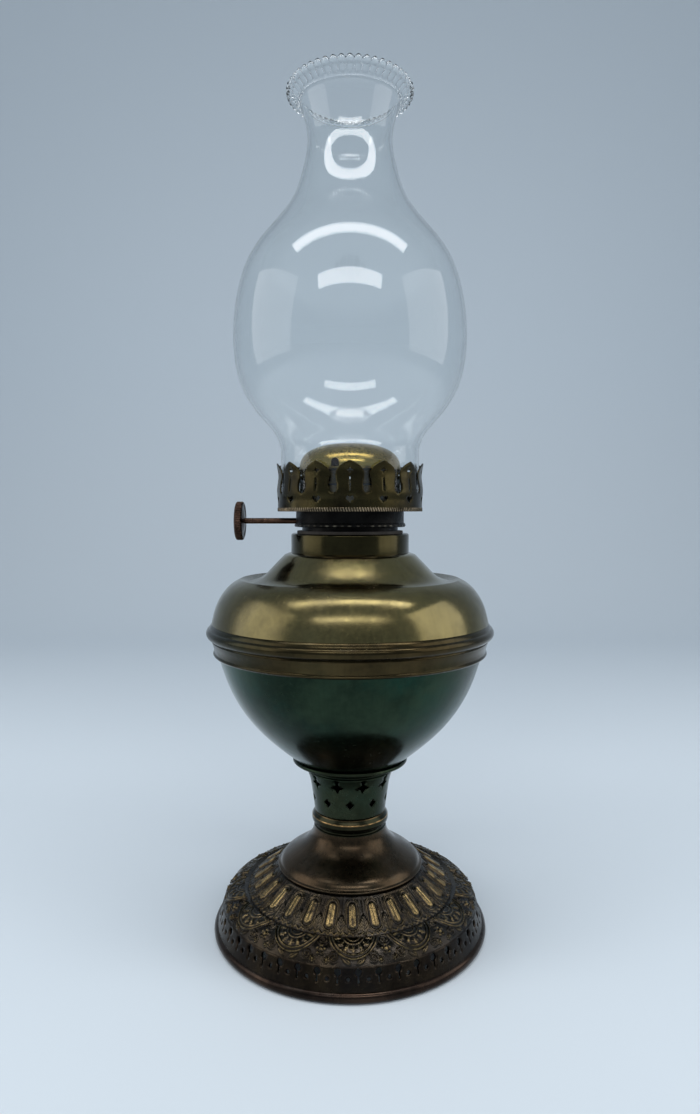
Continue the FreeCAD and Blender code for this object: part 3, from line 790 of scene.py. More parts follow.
@dataclass(frozen=True)
class AgedMetal:
    """An aged brass or bronze finish.

    Attributes:
        name: the material's name.
        deep: colour of the darkest tarnish.
        body: the general colour.
        bright: colour where the metal is rubbed clean, and of the highlights painted along some reliefs.
        cast: a second hue that lies over the metal in broad clouds.
        cast_share: how strong that second hue is.
        rough: lowest and highest roughness.
        clouds: scale of the tarnish.
        streak: strength of the run-down stains.
        wear: strength of the rubbed edges.
        dust: amount of dust.
        metal: how metallic the surface is.
        lines: height of the turning lines, in metres.
        grain: height of the fine grain, in metres.
    """

    name: str
    deep: Colour
    body: Colour
    bright: Colour
    cast: Colour = (0.05, 0.04, 0.02)
    cast_share: float = 0.0
    rough: tuple[float, float] = (0.14, 0.3)
    clouds: float = 28.0
    streak: float = 0.3
    wear: float = 0.25
    dust: float = 0.05
    metal: float = 1.0
    lines: float = 0.003 * MM
    grain: float = 0.004 * MM

    def build(self, effects: Effects) -> bpy.types.Material:
        """Lays out the material.

        Args:
            effects: the shared node groups.

        Returns:
            The new material.
        """
        made, nodes, shader = new_material(self.name)
        place = nodes.add("ShaderNodeTexCoord").outputs["Object"]
        tarnish = nodes.effect(effects.tarnish, place, Scale=self.clouds)
        streaks = nodes.effect(effects.streaks, place)
        wear = nodes.effect(effects.wear, place, Edges=self.wear)
        dust = nodes.effect(effects.dust, place, Amount=self.dust)
        lines = nodes.effect(effects.lines, place)
        relief = nodes.add("ShaderNodeAttribute", attribute_name=RELIEF_NAME)
        nodes.link(relief.outputs["Fac"], wear.inputs["Relief"])
        colour = nodes.mix(tarnish.outputs["Clouds"], self.deep, self.body)
        broad = nodes.effect(effects.tarnish, place, Scale=self.clouds * BROAD_SHARE)
        veil = nodes.math("MULTIPLY", broad.outputs["Clouds"], self.cast_share)
        colour = nodes.mix(veil, colour, self.cast)
        stain = nodes.math("MULTIPLY", streaks.outputs["Mask"], self.streak)
        colour = nodes.mix(stain, colour, self.deep)
        speck = nodes.math("MULTIPLY", tarnish.outputs["Grain"], SPECK_SHARE)
        colour = nodes.mix(speck, colour, self.body)
        # The relief mask brings in the bright colour: rubbed places, and painted highlights along the
        # raised lines of the scroll band and the bead ring.
        colour = nodes.mix(wear.outputs["Mask"], colour, self.bright)
        colour = nodes.mix(dust.outputs["Mask"], colour, DUST_COLOUR)
        nodes.link(colour, shader.inputs["Base Color"])
        low, high = self.rough
        rough = nodes.ramp(tarnish.outputs["Clouds"], 0.0, 1.0, high, low)
        rough = nodes.math("ADD", rough, nodes.math("MULTIPLY", dust.outputs["Mask"], DUST_ROUGH))
        bite = nodes.math("MULTIPLY", tarnish.outputs["Grain"], GRAIN_ROUGH)
        rough = nodes.math("ADD", rough, bite, clamp=True)
        nodes.link(rough, shader.inputs["Roughness"])
        shader.inputs["Metallic"].default_value = self.metal
        bump = nodes.add("ShaderNodeBump")
        bump.inputs["Strength"].default_value = 1.0
        bump.inputs["Distance"].default_value = 1.0
        height = nodes.math("MULTIPLY", lines.outputs["Height"], self.lines)
        height = nodes.math("ADD", height, nodes.math("MULTIPLY", tarnish.outputs["Grain"], self.grain))
        nodes.link(height, bump.inputs["Height"])
        nodes.link(bump.outputs["Normal"], shader.inputs["Normal"])
        return made


@dataclass(frozen=True)
class ClearGlass:
    """Blown clear glass with a faint smear."""

    name: str = "chimney_glass"
    tint: Colour = (0.97, 0.985, 0.985)
    ior: float = 1.47
    smear_scale: float = 9.0
    smear_rough: float = 0.03

    def build(self, effects: Effects) -> bpy.types.Material:
        """Lays out the material.

        Args:
            effects: the shared node groups.

        Returns:
            The new material.
        """
        made, nodes, shader = new_material(self.name)
        shader.inputs["Base Color"].default_value = (*self.tint, 1.0)
        shader.inputs["Transmission Weight"].default_value = 1.0
        shader.inputs["IOR"].default_value = self.ior
        place = nodes.add("ShaderNodeTexCoord").outputs["Object"]
        smear = nodes.effect(effects.tarnish, place, Scale=self.smear_scale)
        rough = nodes.ramp(smear.outputs["Clouds"], 0.0, 1.0, 0.0, self.smear_rough)
        nodes.link(rough, shader.inputs["Roughness"])
        return made


@dataclass(frozen=True)
class WovenCotton:
    """Wick cotton: a close weave, charred at the lip."""

    name: str = "wick_cotton"
    clean: Colour = (0.66, 0.6, 0.47)
    charred: Colour = (0.02, 0.018, 0.016)
    char_from: float = 0.24
    char_to: float = 0.2405
    soot_share: float = 0.7
    weave_scale: float = 420.0
    weave_wander: float = 1.5
    weave_height: float = 0.3 * MM
    rough: float = 0.95

    def build(self, effects: Effects) -> bpy.types.Material:
        """Lays out the material.

        Args:
            effects: the shared node groups.

        Returns:
            The new material.
        """
        made, nodes, shader = new_material(self.name)
        place = nodes.add("ShaderNodeTexCoord").outputs["Object"]
        weave = nodes.add("ShaderNodeTexWave", bands_direction="Z")
        weave.inputs["Scale"].default_value = self.weave_scale
        weave.inputs["Distortion"].default_value = self.weave_wander
        nodes.link(place, weave.inputs["Vector"])
        burn = nodes.ramp(nodes.split(place).outputs[2], self.char_from, self.char_to)
        soot = nodes.effect(effects.tarnish, place)
        sooty = tuple(self.soot_share * channel for channel in self.clean)
        colour = nodes.mix(soot.outputs["Clouds"], sooty, self.clean)
        nodes.link(nodes.mix(burn, colour, self.charred), shader.inputs["Base Color"])
        shader.inputs["Roughness"].default_value = self.rough
        bump = nodes.add("ShaderNodeBump")
        bump.inputs["Distance"].default_value = self.weave_height
        nodes.link(weave.outputs["Fac"], bump.inputs["Height"])
        nodes.link(bump.outputs["Normal"], shader.inputs["Normal"])
        return made


class Finishes:
    """Every finish on the lamp, built once and looked up by the record's slot name."""

    def __init__(self) -> None:
        """Builds the shared effects and the materials."""
        effects = Effects()
        metals = [
            # foot_brass's bright colour shows both the rubbed tops of the foot's relief and the highlight
            # painted along its scroll lines.
            AgedMetal("foot_brass", (0.014, 0.011, 0.009), (0.04, 0.029, 0.018), (0.42, 0.29, 0.12),
                      cast=(0.03, 0.034, 0.038), cast_share=0.4, rough=(0.13, 0.28), clouds=60.0,
                      grain=0.02 * MM, wear=0.0),
            AgedMetal("band_bronze", (0.008, 0.006, 0.005), (0.036, 0.025, 0.015), (0.2, 0.13, 0.06),
                      cast=(0.014, 0.014, 0.015), cast_share=0.5, rough=(0.2, 0.36), clouds=60.0, wear=0.0),
            AgedMetal("rim_bronze", (0.012, 0.009, 0.008), (0.055, 0.035, 0.025), (0.2, 0.13, 0.08),
                      rough=(0.16, 0.28), wear=0.0),
            AgedMetal("bell_bronze", (0.026, 0.018, 0.011), (0.1, 0.062, 0.036), (0.4, 0.27, 0.15),
                      cast=(0.04, 0.038, 0.024), cast_share=0.6, rough=(0.14, 0.26), wear=0.0),
            AgedMetal("stem_brass", (0.014, 0.018, 0.011), (0.04, 0.046, 0.026), (0.3, 0.24, 0.1),
                      cast=(0.016, 0.042, 0.03), cast_share=0.8, rough=(0.18, 0.32), wear=0.0),
            # The bead ring's bright copper is the colour of the highlight painted along its lines.
            AgedMetal("bead_bronze", (0.012, 0.013, 0.008), (0.04, 0.034, 0.018), (0.5, 0.29, 0.12),
                      cast=(0.016, 0.034, 0.024), cast_share=0.7, rough=(0.12, 0.22), wear=0.0),
            AgedMetal("bowl_brass", (0.009, 0.018, 0.012), (0.03, 0.05, 0.03), (0.2, 0.16, 0.07),
                      cast=(0.006, 0.066, 0.05), cast_share=0.95, rough=(0.1, 0.22), clouds=24.0, wear=0.0),
            AgedMetal("shoulder_brass", (0.1, 0.08, 0.034), (0.23, 0.186, 0.078), (0.42, 0.34, 0.16),
                      cast=(0.13, 0.11, 0.062), cast_share=0.6, rough=(0.12, 0.22), wear=0.0),
            AgedMetal("collar_brass", (0.018, 0.015, 0.007), (0.05, 0.041, 0.018), (0.35, 0.28, 0.12),
                      rough=(0.12, 0.22), wear=0.0),
            AgedMetal("seam_bronze", (0.022, 0.016, 0.008), (0.068, 0.048, 0.021), (0.45, 0.35, 0.17),
                      cast=(0.02, 0.034, 0.02), cast_share=0.4, rough=(0.12, 0.22), wear=0.0),
            AgedMetal("inner_brass", (0.06, 0.042, 0.018), (0.22, 0.16, 0.065), (0.5, 0.4, 0.18),
                      rough=(0.3, 0.5)),
            AgedMetal("burner_black", (0.004, 0.004, 0.004), (0.014, 0.013, 0.012), (0.2, 0.18, 0.14),
                      rough=(0.3, 0.5), grain=0.06 * MM, wear=0.0, dust=0.02),
            AgedMetal("knob_bronze", (0.010, 0.008, 0.007), (0.036, 0.021, 0.016), (0.3, 0.16, 0.1),
                      rough=(0.22, 0.38)),
            AgedMetal("gallery_brass", (0.012, 0.010, 0.006), (0.036, 0.03, 0.014), (0.3, 0.24, 0.1),
                      cast=(0.1, 0.075, 0.026), cast_share=0.4, rough=(0.18, 0.32), clouds=75.0, wear=0.0),
            AgedMetal("milled_brass", (0.02, 0.015, 0.009), (0.05, 0.038, 0.024), (0.42, 0.33, 0.22),
                      rough=(0.14, 0.26), wear=0.0),
            AgedMetal("dome_brass", (0.25, 0.17, 0.05), (0.44, 0.33, 0.09), (0.6, 0.48, 0.18),
                      cast=(0.34, 0.22, 0.12), cast_share=0.4, rough=(0.16, 0.26), streak=0.15, wear=0.0),
            AgedMetal("gasket_leather", (0.01, 0.008, 0.007), (0.035, 0.028, 0.022), (0.06, 0.05, 0.04),
                      rough=(0.7, 0.9), metal=0.0, grain=0.1 * MM),
        ]
        self.by_name = {metal.name: metal.build(effects) for metal in metals}
        self.by_name["chimney_glass"] = ClearGlass().build(effects)
        self.by_name["wick_cotton"] = WovenCotton().build(effects)

    def dress(self, made: bpy.types.Object, slot: str, finish: Optional[str] = None) -> None:
        """Gives a piece the finish of a slot, or another finish of the same metal.

        Args:
            made: the piece.
            slot: the record's material slot.
            finish: the other finish, if it has one.
        """
        made.data.materials.clear()
        made.data.materials.append(self.by_name[finish or slot])


def place(
    made: bpy.types.Object,
    body: Body,
    slot: str,
    finishes: Finishes,
    *replaced: str,
    finish: Optional[str] = None,
) -> bpy.types.Object:
    """Dresses a new piece, sets it on its body and says which nodes it stands for.

    Args:
        made: the piece.
        body: the body that carries it.
        slot: the record's material slot.
        finishes: the lamp's finishes.
        replaced: the CAD nodes that it stands for.
        finish: a finish other than the slot's own.

    Returns:
        The piece.
    """
    finishes.dress(made, slot, finish)
    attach(made, body.value)
    if replaced:
        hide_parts(*replaced)
    log.info("%s: %d faces, on %s", made.name, len(made.data.polygons), body.value)
    return made


def reach(node: str) -> float:
    """The largest radius of a CAD node."""
    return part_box(node)[1].x


def levels(node: str) -> tuple[float, float]:
    """The lowest and the highest level of a CAD node."""
    low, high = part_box(node)
    return low.z, high.z


# Rounded forms that the reliefs are made of


def ridge(distance: np.ndarray, half_width: float) -> np.ndarray:
    """A rounded ridge, 1 at distance 0 and 0 beyond its half width."""
    share = np.clip(np.abs(distance) / half_width, 0, 1)
    return (1 - share**2) ** 2


def plateau(depth: np.ndarray, edge: float) -> np.ndarray:
    """0 outside, rising to 1 over the edge's width, for a signed depth inside a shape."""
    share = np.clip(depth / edge, 0, 1)
    return share * share * (3 - 2 * share)


def rings(span: np.ndarray, rows: Sequence[Ring]) -> np.ndarray:
    """Raised rings about a middle, each row giving a ring's height, radius and half width."""
    return sum(height * ridge(span - radius, half) for height, radius, half in rows)


def nearest_turn(angle: np.ndarray, count: int, offset: float) -> np.ndarray:
    """Angle from the nearest of count evenly spaced places, the first at the offset."""
    pitch = 2 * math.pi / count
    return (angle - offset + pitch / 2) % pitch - pitch / 2


# The lamp's parts, from the foot up


@dataclass
class Foot:
    """The stamped foot: rolled rim, pierced band, scroll band and gadroon band."""

    rim: float = 5.2 * MM
    wall: float = 0.8 * MM
    band_wall: float = 1.5 * MM
    band_top: Point = (69.0 * MM, 15.5 * MM)
    scroll_top: Point = (57.5 * MM, 22.6 * MM)
    gadroon_top: Point = (38.9 * MM, 33.7 * MM)
    band_inset: float = 1.7 * MM
    band_sink: float = 0.6 * MM
    keyholes: int = 45
    keyhole_turn: float = 3.2
    head_level: float = 13.0 * MM
    head_radius: float = 1.7 * MM
    stem_half: float = 0.5 * MM
    stem_length: float = 2.8 * MM
    stem_tip: float = 0.4 * MM
    dot_level: float = 10.2 * MM
    dot_radius: float = 1.05 * MM
    fans: int = 13
    fan_turn: float = 1.5
    fan_radius: float = 12.2 * MM
    fan_rings: tuple[Ring, ...] = (
        (1.0, 11.6 * MM, 0.75 * MM),
        (0.8, 9.9 * MM, 0.55 * MM),
        (0.7, 5.0 * MM, 0.5 * MM),
        (0.6, 3.2 * MM, 0.45 * MM),
    )
    fan_ribs: int = 7
    fan_pearls: int = 10
    rib_start: float = 5.6 * MM
    rib_end: float = 9.4 * MM
    pearl_ring: float = 7.6 * MM
    scroll_lift: float = 0.9 * MM
    matting_lift: float = 0.05 * MM
    matting_columns: int = 480
    matting_rows: float = 7.2
    scroll_step: float = 0.28 * MM
    scroll_columns: int = 1560
    groove: Point = (1.6 * MM, 0.5 * MM)
    gadroons: int = 28
    gadroon_turn: float = 1.4
    gadroon_half: float = 2.6 * MM
    gadroon_middle: float = 0.49
    gadroon_straight: float = 0.2
    gadroon_borders: tuple[Ring, ...] = ((1.0, 3.5 * MM, 0.5 * MM), (0.6, 4.5 * MM, 0.4 * MM))
    gadroon_lift: float = 0.7 * MM
    gadroon_step: float = 0.36 * MM
    gadroon_columns: int = 49

    def band_foot(self) -> Point:
        """Where the pierced band leaves the rim."""
        return reach("foot_shell") - self.band_inset, self.rim - self.band_sink

    def build_rim(self) -> bpy.types.Object:
        """The rolled rim, a full round bead.

        Returns:
            The new piece.
        """
        half = self.rim / 2
        line = circle((reach("foot_shell") - half, half), half, 24)
        return turned("foot_rim", line, 256)

    def build_band(self) -> bpy.types.Object:
        """The band with its keyholes and dots.

        Returns:
            The new piece.
        """
        foot = self.band_foot()
        line = np.array([foot, self.band_top])
        length = float(np.linalg.norm(line[1] - line[0]))
        rise = (self.band_top[1] - foot[1]) / length
        reference = (foot[0] + self.band_top[0]) / 2
        half = math.pi * reference / self.keyholes
        quarter = half / 2
        keyhole = self.keyhole(-quarter, (self.head_level - foot[1]) / rise)
        dot = circle((quarter, (self.dot_level - foot[1]) / rise), self.dot_radius, 16)
        sheet = PiercedSheet(
            "foot_pierced_band",
            line,
            self.keyholes,
            oblong(half, length, 9, 9),
            [keyhole, dot],
            reference,
            self.band_wall,
            turn=self.keyhole_turn + 360 / self.keyholes / 4,
        )
        return sheet.build()

    def keyhole(self, middle: float, head: float) -> np.ndarray:
        """A round head over a narrow pointed stem.

        Args:
            middle: where its middle line lies across the cell.
            head: the level of the head's middle, along the band.

        Returns:
            The closed loop.
        """
        mouth = math.asin(self.stem_half / self.head_radius)
        turn = np.linspace(-math.pi / 2 + mouth, 1.5 * math.pi - mouth, 18)
        radius = self.head_radius
        loop = [at((middle, head), radius, t) for t in turn]
        low = head - radius - self.stem_length
        loop += [(middle - self.stem_half, low), (middle, low - self.stem_tip)]
        loop += [(middle + self.stem_half, low)]
        return np.array(loop)

    def scroll_relief(self, angle: np.ndarray, along: np.ndarray) -> tuple[np.ndarray, np.ndarray]:
        """Shell fans that hang from the groove, with flowers and scrolls between them.

        Args:
            angle: angle round the axis of each point.
            along: distance of each point from the band's lower edge.

        Returns:
            The height of the relief and its mask, partly wear on the high points and partly a painted
            highlight along the raised lines.
        """
        length = along.max()
        radius = self.band_top[0] + (self.scroll_top[0] - self.band_top[0]) * along / length
        first = math.radians(self.fan_turn)
        across = nearest_turn(angle, self.fans, first) * radius
        other = nearest_turn(angle, self.fans, first + math.pi / self.fans) * radius
        down = length + 0.5 * MM - along
        free = 1 - plateau(self.fan_radius + 0.4 * MM - np.hypot(across, down), edge=0.6 * MM)
        shape = self.fan(across, down) + free * self.filling(across, other, along)
        grid = np.cos(angle * self.matting_columns) * np.cos(along / MM * self.matting_rows)
        fade = plateau(along, edge=1.2 * MM) * plateau(length - along, edge=0.6 * MM)
        # Partly wear on the high points of the relief, partly a painted highlight along its raised lines.
        wear_and_highlight = 0.8 * np.clip(1.3 * (shape - 0.4), 0, 1)
        return (shape * self.scroll_lift + grid * self.matting_lift) * fade, wear_and_highlight * fade

    def fan(self, across: np.ndarray, down: np.ndarray) -> np.ndarray:
        """A shell fan: rings, ribs and a row of pearls on a raised field.

        Args:
            across: distance of each point from the fan's middle line.
            down: distance of each point below the fan's middle.

        Returns:
            The height of each point, as a share of the relief's height.
        """
        span = np.hypot(across, down)
        ray = np.arctan2(across, down) / math.pi
        raised = plateau(self.fan_radius - span, edge=0.8 * MM)
        ribs = ridge((ray * self.fan_ribs + 0.5) % 1 - 0.5, half_width=0.3)
        ribs *= plateau(span - self.rib_start, edge=0.5 * MM) * plateau(self.rib_end - span, edge=0.5 * MM)
        pearls = ridge((ray * self.fan_pearls) % 1 - 0.5, half_width=0.35)
        pearls *= ridge(span - self.pearl_ring, half_width=0.7 * MM)
        return 0.35 * raised + 0.5 * rings(span, self.fan_rings) + 0.4 * ribs + 0.3 * pearls

    def filling(self, across: np.ndarray, other: np.ndarray, along: np.ndarray) -> np.ndarray:
        """Rosettes, scrolls and leaves for the ground between the fans.

        Args:
            across: distance of each point from its fan's middle line.
            other: distance of each point from the middle line between two fans.
            along: distance of each point from the band's lower edge.

        Returns:
            The height of each point, as a share of the relief's height.
        """
        flower = self.flower(other, along - 6.3 * MM, size=3.3 * MM, petals=5)
        curl = self.volute(other, along - 11.6 * MM, size=3.3 * MM, pitch=1.35 * MM)
        for side in (-1, 1):
            bud = self.flower(other + side * 3.4 * MM, along - 2.3 * MM, size=1.9 * MM, petals=6)
            scroll = self.volute(side * other - 6.6 * MM, along - 3.6 * MM, size=2.9 * MM, pitch=1.2 * MM)
            leaf = self.leaf(side * across - 3.6 * MM, along - 2.2 * MM, long=3.4 * MM, wide=1.3 * MM)
            flower = np.maximum(flower, bud)
            curl = np.maximum(curl, np.maximum(scroll, leaf))
        return np.maximum(0.85 * flower, 0.6 * curl)

    @staticmethod
    def volute(across: np.ndarray, along: np.ndarray, size: float, pitch: float) -> np.ndarray:
        """A spiral line that winds in to a small button.

        Args:
            across: distance of each point from the figure's middle line.
            along: height of each point above the figure's middle.
            size: the spiral's radius.
            pitch: the distance between its turns.

        Returns:
            The height of each point, as a share.
        """
        span = np.hypot(across, along)
        turn = np.arctan2(along, across) / (2 * math.pi)
        line = ridge((span / pitch - turn) % 1 - 0.5, 0.3)
        return line * plateau(size - span, 0.4 * MM) + 0.6 * ridge(span, 0.5 * MM)

    @staticmethod
    def leaf(across: np.ndarray, along: np.ndarray, long: float, wide: float) -> np.ndarray:
        """A slanted leaf with a cut along its middle.

        Args:
            across: distance of each point from the figure's middle line.
            along: height of each point above the figure's middle.
            long: half the leaf's length.
            wide: half its width.

        Returns:
            The height of each point, as a share.
        """
        lean = math.radians(38)
        run = across * math.cos(lean) + along * math.sin(lean)
        off = along * math.cos(lean) - across * math.sin(lean)
        half = wide * np.clip(1 - (run / long) ** 2, 0, 1)
        return plateau(half - np.abs(off), 0.45 * MM) * (1 - 0.6 * ridge(off, 0.3 * MM))

    @staticmethod
    def flower(across: np.ndarray, along: np.ndarray, size: float, petals: int) -> np.ndarray:
        """A small rosette: petals round a button.

        Args:
            across: distance of each point from the figure's middle line.
            along: height of each point above the figure's middle.
            size: the rosette's radius.
            petals: how many petals it has.

        Returns:
            The height of each point, as a share.
        """
        span = np.hypot(across, along)
        turn = np.arctan2(across, along)
        lobe = size * (0.72 + 0.28 * np.abs(np.cos(turn * petals / 2)))
        bloom = plateau(lobe - span, 0.5 * size) * (0.6 + 0.4 * np.abs(np.cos(turn * petals / 2)))
        cut = 1 - 0.7 * ridge(span - 0.38 * size, 0.16 * size)
        return bloom * cut + 0.5 * ridge(span, 0.3 * size)

    def build_scroll(self) -> bpy.types.Object:
        """The scroll band with its relief.

        Returns:
            The new piece.
        """
        outer = smooth(between(self.band_top, self.scroll_top, [(0.2, 0.42), (0.57, 0.83)]))
        outer = resample(outer, self.scroll_step)
        line = np.vstack([outer, backing(outer, self.wall)])
        return turned("foot_scroll_band", line, self.scroll_columns, self.scroll_relief, len(outer))

    def gadroon_relief(self, angle: np.ndarray, along: np.ndarray) -> tuple[np.ndarray, np.ndarray]:
        """Oval gadroons with a raised border, and leaf tips between them.

        Args:
            angle: angle round the axis of each point.
            along: distance of each point from the groove, up the slope.

        Returns:
            The height of the relief and its wear mask.
        """
        length = along.max()
        radius = self.scroll_top[0] + (self.gadroon_top[0] - self.scroll_top[0]) * along / length
        first = math.radians(self.gadroon_turn)
        across = nearest_turn(angle, self.gadroons, first) * self.scroll_top[0]
        other = nearest_turn(angle, self.gadroons, first + math.pi / self.gadroons) * radius
        past_straight = np.abs(along - self.gadroon_middle * length) - self.gadroon_straight * length
        span = np.hypot(across, np.clip(past_straight, 0, None))
        boss = plateau(self.gadroon_half - span, edge=1.1 * MM) * (1 - 0.25 * ridge(across, 0.5 * MM))
        border = rings(span, self.gadroon_borders)
        leaf = self.leaf_tip(other, along / length)
        veins = ridge((np.abs(other) / MM - 0.8 * along / MM) % 1.3 - 0.65, half_width=0.35) * leaf
        flutes = ridge(np.abs(other) - 0.9 * MM, 0.4 * MM)
        flutes *= plateau(along - 0.5 * length, edge=0.1 * length)
        scallop = ridge(along - 1.1 * MM - 0.5 * MM * np.cos(angle * self.gadroons * 4), 0.55 * MM)
        top = ridge(length - along - 1.3 * MM, 0.8 * MM)
        shape = 1.25 * boss + 0.5 * border + 0.5 * leaf + 0.25 * veins + 0.4 * (flutes + scallop + top)
        fade = plateau(along, edge=0.3 * MM) * plateau(length - along, edge=0.4 * MM)
        uneven = 0.72 + 0.28 * np.cos(angle * 5 + 1) * np.cos(angle * 12 + 2)
        wear_and_highlight = uneven * np.clip(1.6 * (boss - 0.35), 0, 1)
        wear_and_highlight += 0.25 * scallop + 0.2 * border + 0.15 * np.clip(leaf - 0.5, 0, 1)
        return shape * self.gadroon_lift * fade, np.clip(wear_and_highlight, 0, 1) * fade

    @staticmethod
    def leaf_tip(across: np.ndarray, climb: np.ndarray) -> np.ndarray:
        """A pointed leaf with a cut along its middle, widest about a quarter of the way up."""
        half = 3.0 * MM * (1 - np.clip(np.abs(climb - 0.24) / 0.3, 0, 1) ** 1.5)
        return plateau(half - np.abs(across), edge=1.0 * MM) * (1 - 0.55 * ridge(across, 0.35 * MM))

    def build_gadroons(self) -> bpy.types.Object:
        """The gadroon band with the groove below and the seat above.

        Returns:
            The new piece.
        """
        groove = (self.scroll_top[0] - self.groove[0], self.scroll_top[1] - self.groove[1])
        outer = resample(np.array([groove, self.gadroon_top]), self.gadroon_step)
        seat = (self.gadroon_top[0] - 3 * self.wall, self.gadroon_top[1])
        line = np.vstack([outer, [seat]])
        closed = np.vstack([line, backing(line, self.wall), [self.scroll_top]])
        columns = self.gadroon_columns * self.gadroons
        return turned("foot_gadroon_band", closed, columns, self.gadroon_relief, len(outer))

    def build(self, finishes: Finishes) -> None:
        """Builds and dresses the foot's pieces.

        Args:
            finishes: the lamp's finishes.
        """
        place(self.build_rim(), Body.LAMP, "foot_brass", finishes, "foot_shell", finish="rim_bronze")
        place(self.build_band(), Body.LAMP, "foot_brass", finishes, "foot_shell", finish="band_bronze")
        for made in (self.build_scroll(), self.build_gadroons()):
            place(made, Body.LAMP, "foot_brass", finishes, "foot_shell")


@dataclass
class Stem:
    """The bell, the bead ring, the pierced stem and the font's seat ring."""

    wall: float = 0.8 * MM
    stars: int = 10
    star_tip: float = 3.7 * MM
    star_waist: float = 1.65 * MM
    star_drop: float = 5.2 * MM
    knob_radius: float = 1.3 * MM
    diamond_half: Point = (2.2 * MM, 2.35 * MM)
    diamond_rise: float = 7.7 * MM
    stem_foot_radius: float = 18.6 * MM
    cell_radius: float = 20.4 * MM
    bell_neck: float = 19.8 * MM
    bell_curl: float = 0.65 * MM
    bead_bore: float = 16.8 * MM
    bead_lift: float = 0.12 * MM
    bead_lines: tuple[Ring, ...] = ((1.0, 3.4 * MM, 0.4 * MM), (0.25, 0.9 * MM, 0.35 * MM))

    def build_bell(self) -> bpy.types.Object:
        """The spun ogee bell.

        Returns:
            The new piece.
        """
        foot = (reach("foot_bell"), levels("foot_shell")[1])
        neck = (self.bell_neck, levels("foot_bell")[1])
        fractions = [(0.09, 0.17), (0.26, 0.3), (0.47, 0.42), (0.68, 0.54), (0.83, 0.67), (0.95, 0.83)]
        ogee = smooth(between(foot, neck, fractions))
        curl = self.bell_curl
        turn = np.linspace(-math.pi / 2, math.pi / 2, 7)
        roll = np.column_stack([foot[0] + curl * np.cos(turn), foot[1] + curl + curl * np.sin(turn)])
        free = ogee[ogee[:, 1] > foot[1] + 2.3 * curl]
        outer = np.vstack([roll, free])
        return turned("foot_bell_skin", np.vstack([outer, inset(ogee, self.wall)[::-1]]), 192)

    def build_bead(self) -> bpy.types.Object:
        """The bead ring with a fine groove at each side.

        Returns:
            The new piece.
        """
        low, high = levels("stem_bead_ring")
        tall = high - low
        out = reach("stem_bead_ring")
        waist = self.bell_neck - 0.9 * MM
        cove = [(self.bell_neck, low), (self.bell_neck, low + 0.05 * tall)]
        groove = [cove[1], (waist, low + 0.13 * tall), (waist + 0.2 * MM, low + 0.2 * tall)]
        bulge = [groove[-1], (out - 0.7 * MM, low + 0.3 * tall), (out, low + 0.54 * tall),
                 (out - 0.7 * MM, low + 0.8 * tall), (self.stem_foot_radius + 0.2 * MM, high)]
        bead = resample(chain(cove, groove, bulge), 0.2 * MM)

        def rubbed_and_highlit(angle: np.ndarray, along: np.ndarray) -> tuple[np.ndarray, np.ndarray]:
            """Two fine raised lines, one on the ridge and a fainter one near the stem, with a painted
            highlight along each.

            Args:
                angle: angle round the axis of each point; not used.
                along: distance of each point along the relief.

            Returns:
                The height of the relief and where its highlight is painted.
            """
            lines = rings(along.max() - along, self.bead_lines)
            # The mask paints a copper highlight along both lines.
            return self.bead_lift * lines, np.clip(lines, 0, 1)

        line = np.vstack([bead, [(self.bead_bore, high), (self.bead_bore, low)]])
        return turned("stem_bead", line, 160, rubbed_and_highlit, len(bead))

    def build_stem(self) -> bpy.types.Object:
        """The pierced stem.

        Returns:
            The new piece.
        """
        foot = (self.stem_foot_radius, levels("stem_bead_ring")[1])
        top = (reach("pierced_stem"), levels("font_seat_ring")[0])
        line = smooth(between(foot, top, [(0.12, 0.2), (0.34, 0.5), (0.6, 0.78)]))
        length = float(distances(line)[-1])
        rise = length / (top[1] - foot[1])
        half = math.pi * self.cell_radius / self.stars
        star = self.star(half / 2, length - self.star_drop * rise)
        diamond = self.diamond(-half / 2, self.diamond_rise * rise)
        sheet = PiercedSheet(
            "stem_pierced",
            line,
            self.stars,
            oblong(half, length, 17, 10),
            [star, diamond],
            self.cell_radius,
            self.wall,
            grid=1.0 * MM,
            turn=360 / self.stars / 4,
        )
        return sheet.build()

    def star(self, middle: float, level: float) -> np.ndarray:
        """A four-pointed star with a round knob on its upper point.

        Args:
            middle: where its middle lies across the cell.
            level: where it lies along the cell.

        Returns:
            The closed loop.
        """
        loop = []
        gap = math.asin(0.45)
        knob = np.linspace(-math.pi / 2 + gap, 1.5 * math.pi - gap, 11)
        for quarter_turn in range(4):
            turn = math.pi / 2 * quarter_turn
            if quarter_turn == 1:
                loop += [at((0.0, self.star_tip), self.knob_radius, t) for t in knob]
            else:
                loop.append(at((0.0, 0.0), self.star_tip, turn))
            loop.append(at((0.0, 0.0), self.star_waist, turn + math.pi / 4))
        return np.array(loop) + [middle, level]

    def diamond(self, middle: float, level: float) -> np.ndarray:
        """A diamond with slightly hollow sides.

        Args:
            middle: where its middle lies across the cell.
            level: where it lies along the cell.

        Returns:
            The closed loop.
        """
        wide, tall = self.diamond_half
        loop = []
        corners = [(wide, 0.0), (0.0, tall), (-wide, 0.0), (0.0, -tall)]
        for (ax, ay), (bx, by) in zip(corners, corners[1:] + corners[:1]):
            for share in (0.0, 0.25, 0.5, 0.75):
                pull = 1 - 0.06 * math.sin(math.pi * share)
                across, up = ax + (bx - ax) * share, ay + (by - ay) * share
                loop.append((middle + pull * across, level + pull * up))
        return np.array(loop)

